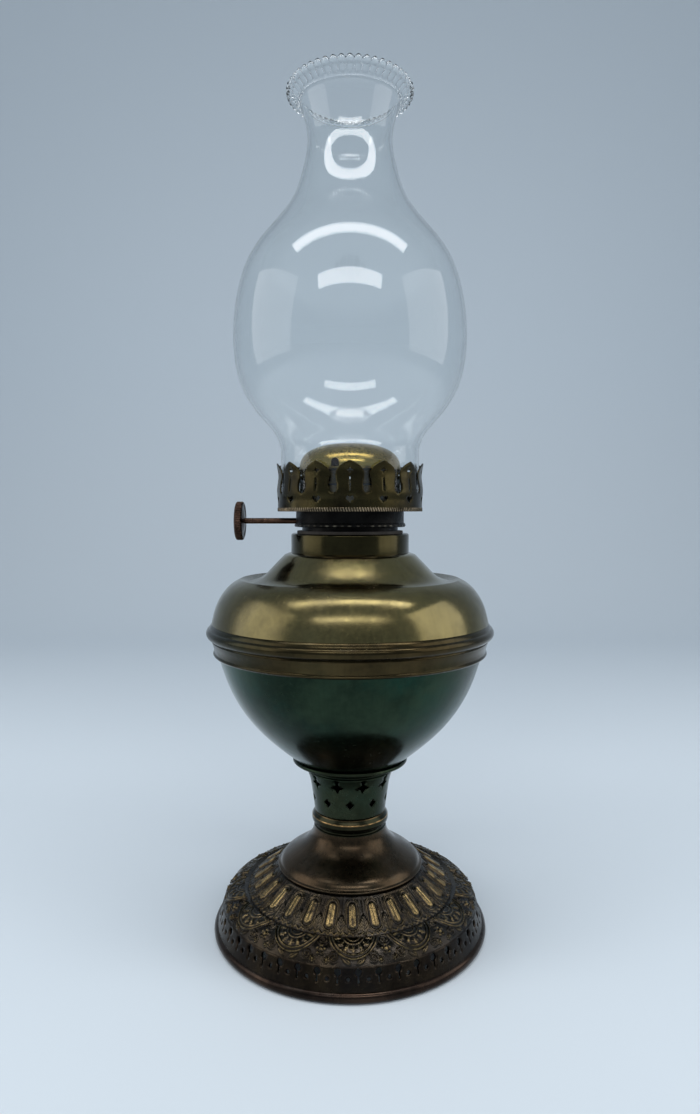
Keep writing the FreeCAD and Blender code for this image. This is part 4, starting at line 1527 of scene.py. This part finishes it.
    def build_seat(self) -> bpy.types.Object:
        """The ring that flares out under the font.

        Returns:
            The new piece.
        """
        low, high = levels("font_seat_ring")
        bore = reach("draught_tube")
        foot = (reach("pierced_stem"), low)
        out = reach("font_seat_ring")
        roll = [foot, (foot[0] + 0.9 * MM, low + 0.7 * MM), (foot[0] + 0.5 * MM, low + 1.4 * MM)]
        cove = between(roll[-1], (out - 1.3 * MM, high - 2.5 * MM), [(0.2, 0.45), (0.65, 0.9)])
        bead = [cove[-1], (out, high - 1.5 * MM), (out - 0.3 * MM, high - 0.4 * MM), (out - 1.2 * MM, high)]
        line = np.vstack([chain(roll, cove, bead), [(bore, high), (bore, low)]])
        return turned("font_seat", line)

    def build(self, finishes: Finishes) -> None:
        """Builds and dresses the stem's pieces.

        Args:
            finishes: the lamp's finishes.
        """
        place(self.build_bell(), Body.LAMP, "bell_bronze", finishes, "foot_bell")
        place(self.build_bead(), Body.LAMP, "stem_brass", finishes, "stem_bead_ring", finish="bead_bronze")
        place(self.build_stem(), Body.LAMP, "stem_brass", finishes, "pierced_stem")
        place(self.build_seat(), Body.LAMP, "stem_brass", finishes, "font_seat_ring")


@dataclass
class Font:
    """The oil font: bowl, shoulder with its rolled seam, and collar."""

    wall: float = 0.8 * MM
    step: float = 3.7 * MM
    foot_groove: float = 1.3 * MM
    crest: Point = (60.0 * MM, 190.3 * MM)
    crease: Point = (55.8 * MM, 188.9 * MM)
    cone_radius: float = 36.0 * MM
    mouth_radius: float = 30.0 * MM
    collar_radius: float = 32.5 * MM
    collar_bore: float = 26.55 * MM
    ledge_radius: float = 25.0 * MM
    ledge_height: float = 1.0 * MM
    edge_radius: float = 1.2 * MM
    seam_height: float = 9.0 * MM
    shelf_drop: float = 8.2 * MM
    segments: int = 256

    def skin(self, name: str, line: Outline) -> bpy.types.Object:
        """An even wall turned about the axis, its outer face on the line."""
        return turned(name, shell(line, self.wall), self.segments, sharp=SOFT_CREASE)

    def shelf(self) -> Point:
        """Where the bowl's side meets the band under the seam."""
        return reach("font_bowl") - self.step, levels("font_shoulder")[0] - self.shelf_drop

    def build_bowl(self) -> bpy.types.Object:
        """The lower half up to the band under the seam.

        Returns:
            The new piece.
        """
        low = levels("font_bowl")[0]
        hole = (reach("draught_tube"), low)
        foot = (reach("font_seat_ring") - self.foot_groove, low)
        side = between(foot, self.shelf(), [(0.28, 0.165), (0.61, 0.41), (0.86, 0.71)])
        return self.skin("font_bowl_skin", chain([hole, foot], side))

    def build_band(self) -> bpy.types.Object:
        """The stepped band under the seam, with a small bead along its lower edge.

        Returns:
            The new piece.
        """
        high = levels("font_shoulder")[0]
        out = reach("font_bowl")
        lip = (out - 1.7 * MM, high - 7.9 * MM)
        bead = [lip, (out - 0.9 * MM, high - 7.0 * MM), (out - 1.5 * MM, high - 6.0 * MM)]
        band = [bead[-1], (out - 1.3 * MM, high - 4.2 * MM), (out - 0.5 * MM, high - 1.6 * MM), (out, high)]
        start = (self.shelf()[0] - 0.3 * MM, self.shelf()[1])
        return self.skin("font_band", chain([start, lip], bead, band))

    def build_shoulder(self) -> bpy.types.Object:
        """The upper half from the rolled seam to the mouth.

        Returns:
            The new piece.
        """
        low, high = levels("font_shoulder")
        out = reach("font_bowl")
        seam_top = (out, low + self.seam_height)
        cone_top = (self.cone_radius, high - 1.3 * MM)
        shoulder = between(seam_top, self.crest, [(0.16, 0.4), (0.36, 0.65), (0.7, 0.89)])
        cone = between(self.crease, cone_top, [(0.3, 0.1), (0.68, 0.55)])
        edge = (self.collar_radius, high)
        mouth = (self.mouth_radius, high)
        line = chain(shoulder, [self.crest, self.crease], cone, [cone_top, edge], [edge, mouth])
        return self.skin("font_shoulder_skin", line)

    def build_seam(self) -> bpy.types.Object:
        """The rolled bead where the two halves are joined, with a fine line under it.

        Returns:
            The new piece.
        """
        low = levels("font_shoulder")[0]
        out, tip = reach("font_bowl"), reach("font_shoulder")
        tall = self.seam_height
        radius = tip - out
        turn = np.linspace(-0.45 * math.pi, 0.36 * math.pi, 18)
        roll = np.column_stack([out + radius * np.cos(turn), low + 0.45 * tall + radius * np.sin(turn)])
        foot = [(out - 0.3 * MM, low), (out - 0.6 * MM, low + 0.08 * tall)]
        upper = (out + 0.3 * radius, low + 0.84 * tall)
        top = smooth([tuple(roll[-1]), upper, (out - 0.3 * MM, low + tall)])
        line = np.vstack([foot, roll, top[1:]])
        return turned("font_seam", shell(line, self.wall), self.segments)

    def build_collar(self) -> bpy.types.Object:
        """The turned collar with its rounded top edge and inner ledge.

        Returns:
            The new piece.
        """
        low, high = levels("font_collar")
        out, radius = self.collar_radius, self.edge_radius
        turn = np.linspace(0, math.pi / 2, 7)
        edge = np.array([at((out - radius, high - radius), radius, t) for t in turn])
        floor = low + self.ledge_height
        bore = [(self.collar_bore, high), (self.collar_bore, floor)]
        ledge = [(self.ledge_radius, floor), (self.ledge_radius, low)]
        return turned("collar_ring", np.vstack([[(out, low)], edge, bore, ledge]), 200)

    def build(self, finishes: Finishes) -> None:
        """Builds and dresses the font's pieces.

        Args:
            finishes: the lamp's finishes.
        """
        pieces = [
            (self.build_bowl(), "bowl_brass", "font_bowl", None),
            (self.build_band(), "bowl_brass", "font_bowl", "seam_bronze"),
            (self.build_shoulder(), "shoulder_brass", "font_shoulder", None),
            (self.build_seam(), "shoulder_brass", "font_shoulder", "seam_bronze"),
            (self.build_collar(), "shoulder_brass", "font_collar", "collar_brass"),
        ]
        for made, slot, node, finish in pieces:
            place(made, Body.LAMP, slot, finishes, node, finish=finish)


@dataclass
class Gallery:
    """The milled ring and the crown of prongs that hold the chimney."""

    prongs: int = 14
    tall: float = 25.3 * MM
    crown_wall: float = 0.6 * MM
    gap: float = 3.0 * MM
    gap_below: float = 4.6 * MM
    gap_foot: float = 8.6 * MM
    waist: float = 19.0 * MM
    tip_drop: float = 2.2 * MM
    bulge: float = 0.5 * MM
    flare: float = 1.3 * MM
    crown_radius: float = 39.2 * MM
    crown_straight: float = 5.3 * MM
    ring_mouth: float = 28.3 * MM
    ring_floor: float = 1.0 * MM
    milling_ridges: int = 180
    milling_columns: int = 1440

    def build_crown(self) -> bpy.types.Object:
        """The crown, cut prong by prong with its heart, slit and cross.

        Returns:
            The new piece.
        """
        low = levels("gallery_crown")[0]
        out = self.crown_radius
        narrow = out - 0.2 * MM
        side = [(out, low + self.crown_straight), (out + self.bulge, low + 0.5 * self.waist)]
        side += [(narrow, low + self.waist), (narrow + self.flare, low + self.tall)]
        sheet = PiercedSheet(
            "gallery_prongs",
            np.vstack([[(out, low)], smooth(side)]),
            self.prongs,
            self.prong_edge(math.pi * out / self.prongs),
            [self.heart(), self.slit(), self.cross()],
            out,
            self.crown_wall,
            grid=1.0 * MM,
        )
        return sheet.build()

    def prong_edge(self, half: float) -> np.ndarray:
        """The edge of one prong: straight foot, arched gap, waist and ogee tip.

        Args:
            half: half the width of a prong's cell.

        Returns:
            The closed loop.
        """
        foot = self.gap_foot + self.gap_below / 2
        base = foot - 0.6 * MM
        shoulder = half - 0.34 * 1.05 * half - 0.5 * self.gap
        flank = [(half - 0.45 * self.gap_below, base), (half - 0.5 * self.gap_below, foot + 1.2 * MM)]
        flank += [(half - 0.5 * self.gap, self.waist), (shoulder, self.tall - self.tip_drop)]
        flank += [(0.0, self.tall)]
        turn = np.linspace(-math.pi / 2, 0, 6)[:-1]
        depth = 0.5 * self.gap_below - 0.6 * MM
        arch = np.column_stack([half - 0.45 * self.gap_below * np.cos(turn), base + depth * np.sin(turn)])
        rise = np.linspace(0, float(arch[0, 1]), 7)[:-1]
        right = np.vstack([np.column_stack([np.full(6, half), rise]), arch, smooth(flank, 6)])
        left = right[::-1][1:] * [-1, 1]
        bottom = np.column_stack([np.linspace(-half, half, 13)[1:-1], np.zeros(11)])
        return np.vstack([right, left, bottom])

    @staticmethod
    def heart() -> np.ndarray:
        """A heart-shaped cut-out, point down.

        Returns:
            The closed loop.
        """
        turn = np.linspace(0, 2 * math.pi, 22, endpoint=False)
        across = 2.3 * MM * np.sin(turn) ** 3
        along = (13 * np.cos(turn) - 5 * np.cos(2 * turn) - 2 * np.cos(3 * turn) - np.cos(4 * turn)) / 16
        return np.column_stack([across, 5.6 * MM + 2.1 * MM * along])

    @staticmethod
    def slit() -> np.ndarray:
        """A narrow slit with pointed ends.

        Returns:
            The closed loop.
        """
        right = [(0.0, 9.0), (0.3, 10.0), (0.45, 13.0), (0.3, 16.0), (0.0, 17.0)]
        left = [(-x, y) for x, y in right[-2:0:-1]]
        return np.array(right + left) * MM

    @staticmethod
    def cross() -> np.ndarray:
        """A small four-armed cross.

        Returns:
            The closed loop.
        """
        arm, width, middle = 1.7, 0.42, 20.2
        points = []
        for turn in range(4):
            cos, sin = round(math.cos(turn * math.pi / 2)), round(math.sin(turn * math.pi / 2))
            for x, y in ((width, -width), (arm, -0.25), (arm, 0.25)):
                points.append((x * cos - y * sin, middle + x * sin + y * cos))
        return np.array(points) * MM

    def build_ring(self) -> bpy.types.Object:
        """The ring with its milled rim.

        Returns:
            The new piece.
        """
        low, high = levels("gallery_ring")
        out = reach("gallery_ring")
        floor = low + self.ring_floor
        rim = [(out - 0.25 * MM, low), (out - 0.1 * MM, low + 0.2 * MM)]
        rim += [(out - 0.1 * MM, high - 0.35 * MM), (out - 0.3 * MM, high)]
        outer = resample(np.array(rim), 0.22 * MM)
        seat = [(self.crown_radius, high), (self.crown_radius, floor)]
        bore = [(self.ring_mouth, floor), (self.ring_mouth, low)]

        def milling(angle: np.ndarray, along: np.ndarray) -> tuple[np.ndarray, np.ndarray]:
            """Slanted rope milling on the rim.

            Args:
                angle: angle round the axis of each point.
                along: distance of each point along the relief.

            Returns:
                The height of the relief and how rubbed it is.
            """
            wave = 0.5 + 0.5 * np.cos(angle * self.milling_ridges + along / MM * 1.4)
            fade = plateau(along, 0.3 * MM) * plateau(along.max() - along, 0.3 * MM)
            return (wave * 0.3 - 0.2) * MM * fade, np.clip(1.5 * wave - 0.6, 0, 1) * fade

        closed = np.vstack([outer, seat, bore])
        return turned("gallery_rim", closed, self.milling_columns, milling, len(outer))

    def build(self, finishes: Finishes) -> None:
        """Builds and dresses the gallery's pieces.

        Args:
            finishes: the lamp's finishes.
        """
        ring, crown = self.build_ring(), self.build_crown()
        place(ring, Body.GALLERY, "gallery_brass", finishes, "gallery_ring", finish="milled_brass")
        place(crown, Body.GALLERY, "gallery_brass", finishes, "gallery_crown")


@dataclass
class Burner:
    """The crimped edge of the drum, the knob and the dome."""

    wall: float = 0.8 * MM
    lip_height: float = 1.9 * MM
    lip_out: float = 0.15 * MM
    lip_wall: float = 1.6 * MM
    lip_drop: float = 0.35 * MM
    crimp_depth: float = 0.16 * MM
    knob_half: float = 3.0 * MM
    knob_teeth: int = 60
    milling_depth: float = 0.3 * MM
    dome_power: float = 0.8
    lug_turn: float = -16.0
    lug_radius: float = 2.1 * MM
    lug_level: float = 3.1 * MM
    lug_foot: float = 0.6 * MM
    lug_root: float = 1.4 * MM
    lug_stand: float = 0.5 * MM
    lug_softness: float = 0.35 * MM

    def build_lip(self) -> bpy.types.Object:
        """The uneven edge that the drum is crimped over.

        Returns:
            The new piece.
        """
        low = levels("burner_drum")[0]
        out = reach("burner_drum") + self.lip_out
        foot, top = low - self.lip_drop, low + self.lip_height
        outer = [(out - 0.5 * MM, foot), (out, low), (out - 0.1 * MM, low + 0.6 * self.lip_height)]
        outer = resample(smooth(outer + [(out - 0.75 * MM, top)]), 0.2 * MM)

        def crimps(angle: np.ndarray, along: np.ndarray) -> tuple[np.ndarray, np.ndarray]:
            """Small uneven folds in the edge.

            Args:
                angle: angle round the axis of each point.
                along: distance of each point along the relief.

            Returns:
                The height of the relief and how rubbed it is.
            """
            wave = 0.5 * np.cos(angle * 48) + 0.3 * np.cos(angle * 31 + 1.0) + 0.2 * np.cos(angle * 7 + 2.0)
            fade = plateau(along, 0.3 * MM) * plateau(along.max() - along, 0.5 * MM)
            wear_and_highlight = np.clip(wave + 0.1, 0, 1) * ridge(along - 1.2 * MM, 0.5 * MM)
            return self.crimp_depth * (wave - 1) * fade, wear_and_highlight

        bore = out - self.lip_wall
        line = np.vstack([outer, [(bore, top), (bore, foot)]])
        return turned("drum_crimp", line, 960, crimps, len(outer))

    def build_knob(self) -> bpy.types.Object:
        """The milled knob with a raised ring on each face, turned to lie on the spindle.

        Returns:
            The new piece.
        """
        low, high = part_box("raiser_knob")
        radius = (high.z - low.z) / 2
        middle = Vector(((low.x + high.x) / 2, 0.0, (low.z + high.z) / 2))
        half = self.knob_half
        size = np.array([radius, half])
        face = smooth(np.array([(0.9, 0.72), (0.8, 0.55), (0.7, 0.6), (0.4, 0.85), (0.0, 1.0)]) * size, 6)
        rim = np.array([(0.9, -0.72), (0.985, -0.55), (1.0, 0.0), (0.985, 0.55), (0.9, 0.72)]) * size
        rim = smooth(rim, 6)
        back = face[::-1] * [1, -1]
        line = np.vstack([rim, face[1:], back[:-1]])

        def milling(angle: np.ndarray, along: np.ndarray) -> tuple[np.ndarray, np.ndarray]:
            """Straight milling across the rim.

            Args:
                angle: angle round the axis of each point.
                along: distance of each point along the relief.

            Returns:
                The height of the relief and how rubbed it is.
            """
            wave = 0.5 + 0.5 * np.cos(angle * self.knob_teeth)
            fade = plateau(along, 0.8 * MM) * plateau(along.max() - along, 0.8 * MM)
            return (wave - 1) * self.milling_depth * fade, np.clip(wave - 0.4, 0, 1) * 0.4 * fade

        made = turned("knob_milled", line, 480, milling, len(rim))
        made.data.transform(Matrix.Translation(middle) @ Matrix.Rotation(math.pi / 2, 4, "Y"))
        return made

    def build_dome(self) -> bpy.types.Object:
        """The flame spreader's dome.

        Returns:
            The new piece.
        """
        low, high = levels("spreader_dome")
        out = reach("spreader_dome")
        tall = high - low
        turn = np.linspace(0, math.pi / 2, 33)
        curve = np.column_stack([np.cos(turn), np.sin(turn)]) ** self.dome_power
        side = curve * [out, tall] + [0, low]
        inner = curve * [out - self.wall, tall - self.wall] + [0, low]
        return turned("dome_cap", np.vstack([side, inner[::-1]]))

    def build_lug(self) -> bpy.types.Object:
        """The small dark lug on the dome's side.

        Returns:
            The new piece.
        """
        low = levels("spreader_dome")[0]
        out = reach("spreader_dome")
        turn = np.linspace(0, math.pi, 13)
        radius = self.lug_radius
        level, foot = low + self.lug_level, low + self.lug_foot
        arch = [at((0.0, level), radius, t) for t in turn]
        arch += [(-radius, foot), (radius, foot)]
        back, front = self.lug_root - out, -self.lug_stand - out
        count = len(arch)
        points = [(x, back, z) for x, z in arch] + [(x, front, z) for x, z in arch]
        faces = [tuple(range(count)), tuple(range(2 * count - 1, count - 1, -1))]
        faces += [(k, (k + 1) % count, count + (k + 1) % count, count + k) for k in range(count)]
        made = mesh_object("dome_lug", np.array(points), faces)
        made.data.transform(Matrix.Rotation(math.radians(self.lug_turn), 4, "Z"))
        soft = made.modifiers.new("soft_edges", "BEVEL")
        soft.width = self.lug_softness
        soft.segments = 3
        return made

    def build(self, finishes: Finishes) -> None:
        """Builds and dresses the burner's pieces.

        Args:
            finishes: the lamp's finishes.
        """
        place(self.build_lip(), Body.BURNER, "burner_black", finishes)
        place(self.build_knob(), Body.RAISER, "knob_bronze", finishes, "raiser_knob")
        place(self.build_dome(), Body.SPREADER, "dome_brass", finishes, "spreader_dome")
        place(self.build_lug(), Body.SPREADER, "knob_bronze", finishes)


@dataclass
class Chimney:
    """The blown glass chimney with its beaded lip."""

    wall: float = 2.0 * MM
    fitter: float = 33.0 * MM
    fitter_radius: float = 38.1 * MM
    bulb: Point = (64.1 * MM, 92.0 * MM)
    neck: Point = (23.5 * MM, 205.0 * MM)
    mouth: Point = (35.4 * MM, 231.4 * MM)
    pearls: int = 48
    scallop: float = 1.3 * MM
    scallop_reach: float = 3.2 * MM
    lip_step: float = 0.5 * MM
    lip_rows: int = 26
    body_step: int = 7
    segments: int = 528

    def build(self, finishes: Finishes) -> None:
        """Builds and dresses the chimney.

        Args:
            finishes: the lamp's finishes.
        """
        low = levels("chimney_foot")[0]

        def lifted(point: Point) -> Point:
            """A point given from the chimney's foot."""
            return point[0], low + point[1]

        foot = (self.fitter_radius, low)
        start = (self.fitter_radius, low + self.fitter)
        rise = between(start, lifted(self.bulb), [(0.05, 0.08), (0.42, 0.3), (0.82, 0.57)])
        fall = between(lifted(self.bulb), lifted(self.neck),
                       [(0.04, 0.2), (0.22, 0.405), (0.51, 0.55), (0.8, 0.7), (0.95, 0.87)])
        flare = between(lifted(self.neck), lifted(self.mouth), [(0.11, 0.37), (0.5, 0.8)])
        fine = resample(smooth(rise + fall[1:] + flare[1:], 30), self.lip_step)
        outer = np.vstack([[foot], fine[:-self.lip_rows:self.body_step], fine[-self.lip_rows:]])
        line = shell(outer, self.wall)
        length = float(distances(outer)[-1])

        def beads(angle: np.ndarray, along: np.ndarray) -> tuple[np.ndarray, np.ndarray]:
            """Pearls pressed into the lip, flutes that run down from them and a ring below the flutes.

            Args:
                angle: angle round the axis of each point.
                along: distance of each point along the relief.

            Returns:
                The height of the relief and how rubbed it is.
            """
            left = np.abs(length + self.wall / 2 - along) - self.wall / 2
            outside = along < length
            wave = self.lobes(angle)
            pearls = ridge(left - 2.0 * MM, 2.4 * MM) * wave * np.where(outside, 1.8, 0.5)
            flutes = plateau(left - 3.4 * MM, 1.0 * MM) * plateau(8.8 * MM - left, 1.2 * MM) * (wave - 0.4)
            ring = ridge(left - 9.6 * MM, 0.9 * MM) * outside
            return (pearls + 0.9 * flutes + 0.7 * ring) * MM, 0 * wave

        made = turned("chimney_glass_body", line, self.segments, beads, len(line), sharp=WIDE_CREASE)
        self.scallop_lip(made, low + self.mouth[1])
        place(made, Body.CHIMNEY, "chimney_glass", finishes, "chimney_foot", "chimney_bulb", "chimney_neck")

    def lobes(self, angle: np.ndarray) -> np.ndarray:
        """1 at the middle of each pearl, 0 between two of them."""
        return np.abs(np.cos(angle * self.pearls / 2)) ** 0.8

    def scallop_lip(self, made: bpy.types.Object, top: float) -> None:
        """Draws the lip in between the pearls, so that its edge is a row of round lobes.

        Args:
            made: the glass.
            top: the level of the lip's edge.
        """
        flat = np.empty(3 * len(made.data.vertices), np.float32)
        made.data.vertices.foreach_get("co", flat)
        points = flat.reshape(-1, 3)
        turn = np.arctan2(points[:, 0], -points[:, 1])
        near = plateau(points[:, 2] - top + self.scallop_reach, self.scallop_reach)
        cut = self.scallop * near * (self.lobes(turn) - 1)
        points[:, :2] *= (1 + cut / self.mouth[0])[:, None]
        points[:, 2] += cut
        made.data.vertices.foreach_set("co", points.reshape(-1))
        made.data.update()


@dataclass
class Studio:
    """The floor, the lights, the world and the camera."""

    focal: float = 770.0
    frame_height: float = 1114.0
    eye_pixel: float = 510.0
    distance: float = 0.427
    eye_level: float = 0.2278
    room_light: Colour = (0.36, 0.396, 0.432)
    room_seen: Colour = (0.27, 0.33, 0.385)
    floor_colour: Colour = (0.72, 0.79, 0.85)
    floor_rough: float = 0.9
    floor_half: float = 4.0
    floor_front: float = -2.5
    sweep_start: float = 0.9
    sweep_radius: float = 0.6
    sweep_top: float = 3.0
    aim: tuple[float, float, float] = (0.0, 0.0, 0.22)
    sensor: float = 36.0

    def build_floor(self) -> None:
        """A pale floor that sweeps up behind the lamp."""
        start, radius = self.sweep_start, self.sweep_radius
        line = [(self.floor_front, 0.0), (start, 0.0)]
        for turn in np.linspace(0, math.pi / 2, 16)[1:]:
            line.append((start + radius * math.sin(turn), radius - radius * math.cos(turn)))
        line.append((start + radius, self.sweep_top))
        points = [(side * self.floor_half, y, z) for y, z in line for side in (-1, 1)]
        faces = [(2 * k, 2 * k + 1, 2 * k + 3, 2 * k + 2) for k in range(len(line) - 1)]
        made = mesh_object("floor_sweep", np.array(points), faces, WIDE_CREASE)
        paint, _, shader = new_material("floor_paint")
        shader.inputs["Base Color"].default_value = (*self.floor_colour, 1.0)
        shader.inputs["Roughness"].default_value = self.floor_rough
        made.data.materials.append(paint)
        made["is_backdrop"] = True

    def build_lights(self) -> None:
        """A long soft box overhead, a slim one above the front and a broad dimmer one on each side."""
        boxes = [
            ("top", (0.0, -0.28, 1.15), (1.5, 0.2), 4.6),
            ("front", (0.0, -1.0, 0.95), (1.2, 0.18), 3.2),
            ("left", (-0.8, -0.16, 0.48), (0.75, 0.65), 2.1),
            ("right", (0.8, -0.16, 0.48), (0.75, 0.65), 2.1),
        ]
        for name, spot, size, power in boxes:
            data = bpy.data.lights.new(name, "AREA")
            data.shape = "RECTANGLE"
            data.size, data.size_y = size
            data.energy = power
            lamp = bpy.data.objects.new(name, data)
            lamp.location = spot
            aim = Vector(self.aim) - Vector(spot)
            lamp.rotation_euler = aim.to_track_quat("-Z", "Y").to_euler()
            lamp.visible_transmission = name not in ("left", "right")
            bpy.context.scene.collection.objects.link(lamp)

    def build_world(self) -> None:
        """An even grey room, which looks like the far floor and lights a little brighter than it looks."""
        world = bpy.data.worlds.new("room")
        bpy.context.scene.world = world
        world.use_nodes = True
        nodes = Nodes(world.node_tree)
        path = nodes.add("ShaderNodeLightPath")
        seen = nodes.math("MAXIMUM", path.outputs["Is Camera Ray"], path.outputs["Is Transmission Ray"])
        seen = nodes.math("MAXIMUM", seen, path.outputs["Is Glossy Ray"])
        colour = nodes.mix(seen, self.room_light, self.room_seen)
        nodes.link(colour, world.node_tree.nodes["Background"].inputs[0])

    def build_camera(self) -> None:
        """The level camera of the photograph, its view shifted down to take in the foot."""
        data = bpy.data.cameras.new("camera")
        data.sensor_width = self.sensor
        data.lens = self.focal / self.frame_height * data.sensor_width
        data.shift_y = (self.eye_pixel - self.frame_height / 2) / self.frame_height
        data.clip_start = 0.01
        made = bpy.data.objects.new("camera", data)
        made.location = (0.0, -self.distance, self.eye_level)
        made.rotation_euler = (math.pi / 2, 0, 0)
        bpy.context.scene.collection.objects.link(made)
        bpy.context.scene.camera = made

    def build(self) -> None:
        """Builds the studio."""
        self.build_floor()
        self.build_lights()
        self.build_world()
        self.build_camera()
        bpy.context.scene.view_settings.view_transform = "Standard"


def dress_carried_nodes(finishes: Finishes) -> None:
    """Gives every CAD node that stays in view the finish of its slot.

    Args:
        finishes: the lamp's finishes.
    """
    for row in frame["record"]["subparts"]:
        node = frame["nodes"][row["node"]]
        node.data.materials.clear()
        node.data.materials.append(finishes.by_name[row["material_slot"]])
        node.data.shade_smooth()
        node.data.set_sharp_from_angle(angle=math.radians(CARRIED_CREASE))


def corners() -> list:
    """The shown object's lowest and highest corner as plain lists."""
    return [list(corner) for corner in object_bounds()]


def main() -> None:
    """Builds the lamp's looks piece by piece, then the studio."""
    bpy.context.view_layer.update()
    finishes = Finishes()
    dress_carried_nodes(finishes)
    for assembly in (Foot(), Stem(), Font(), Burner(), Gallery(), Chimney()):
        log.info("building %s", type(assembly).__name__)
        assembly.build(finishes)
    Studio().build()


if __name__ == "__main__":
    main()
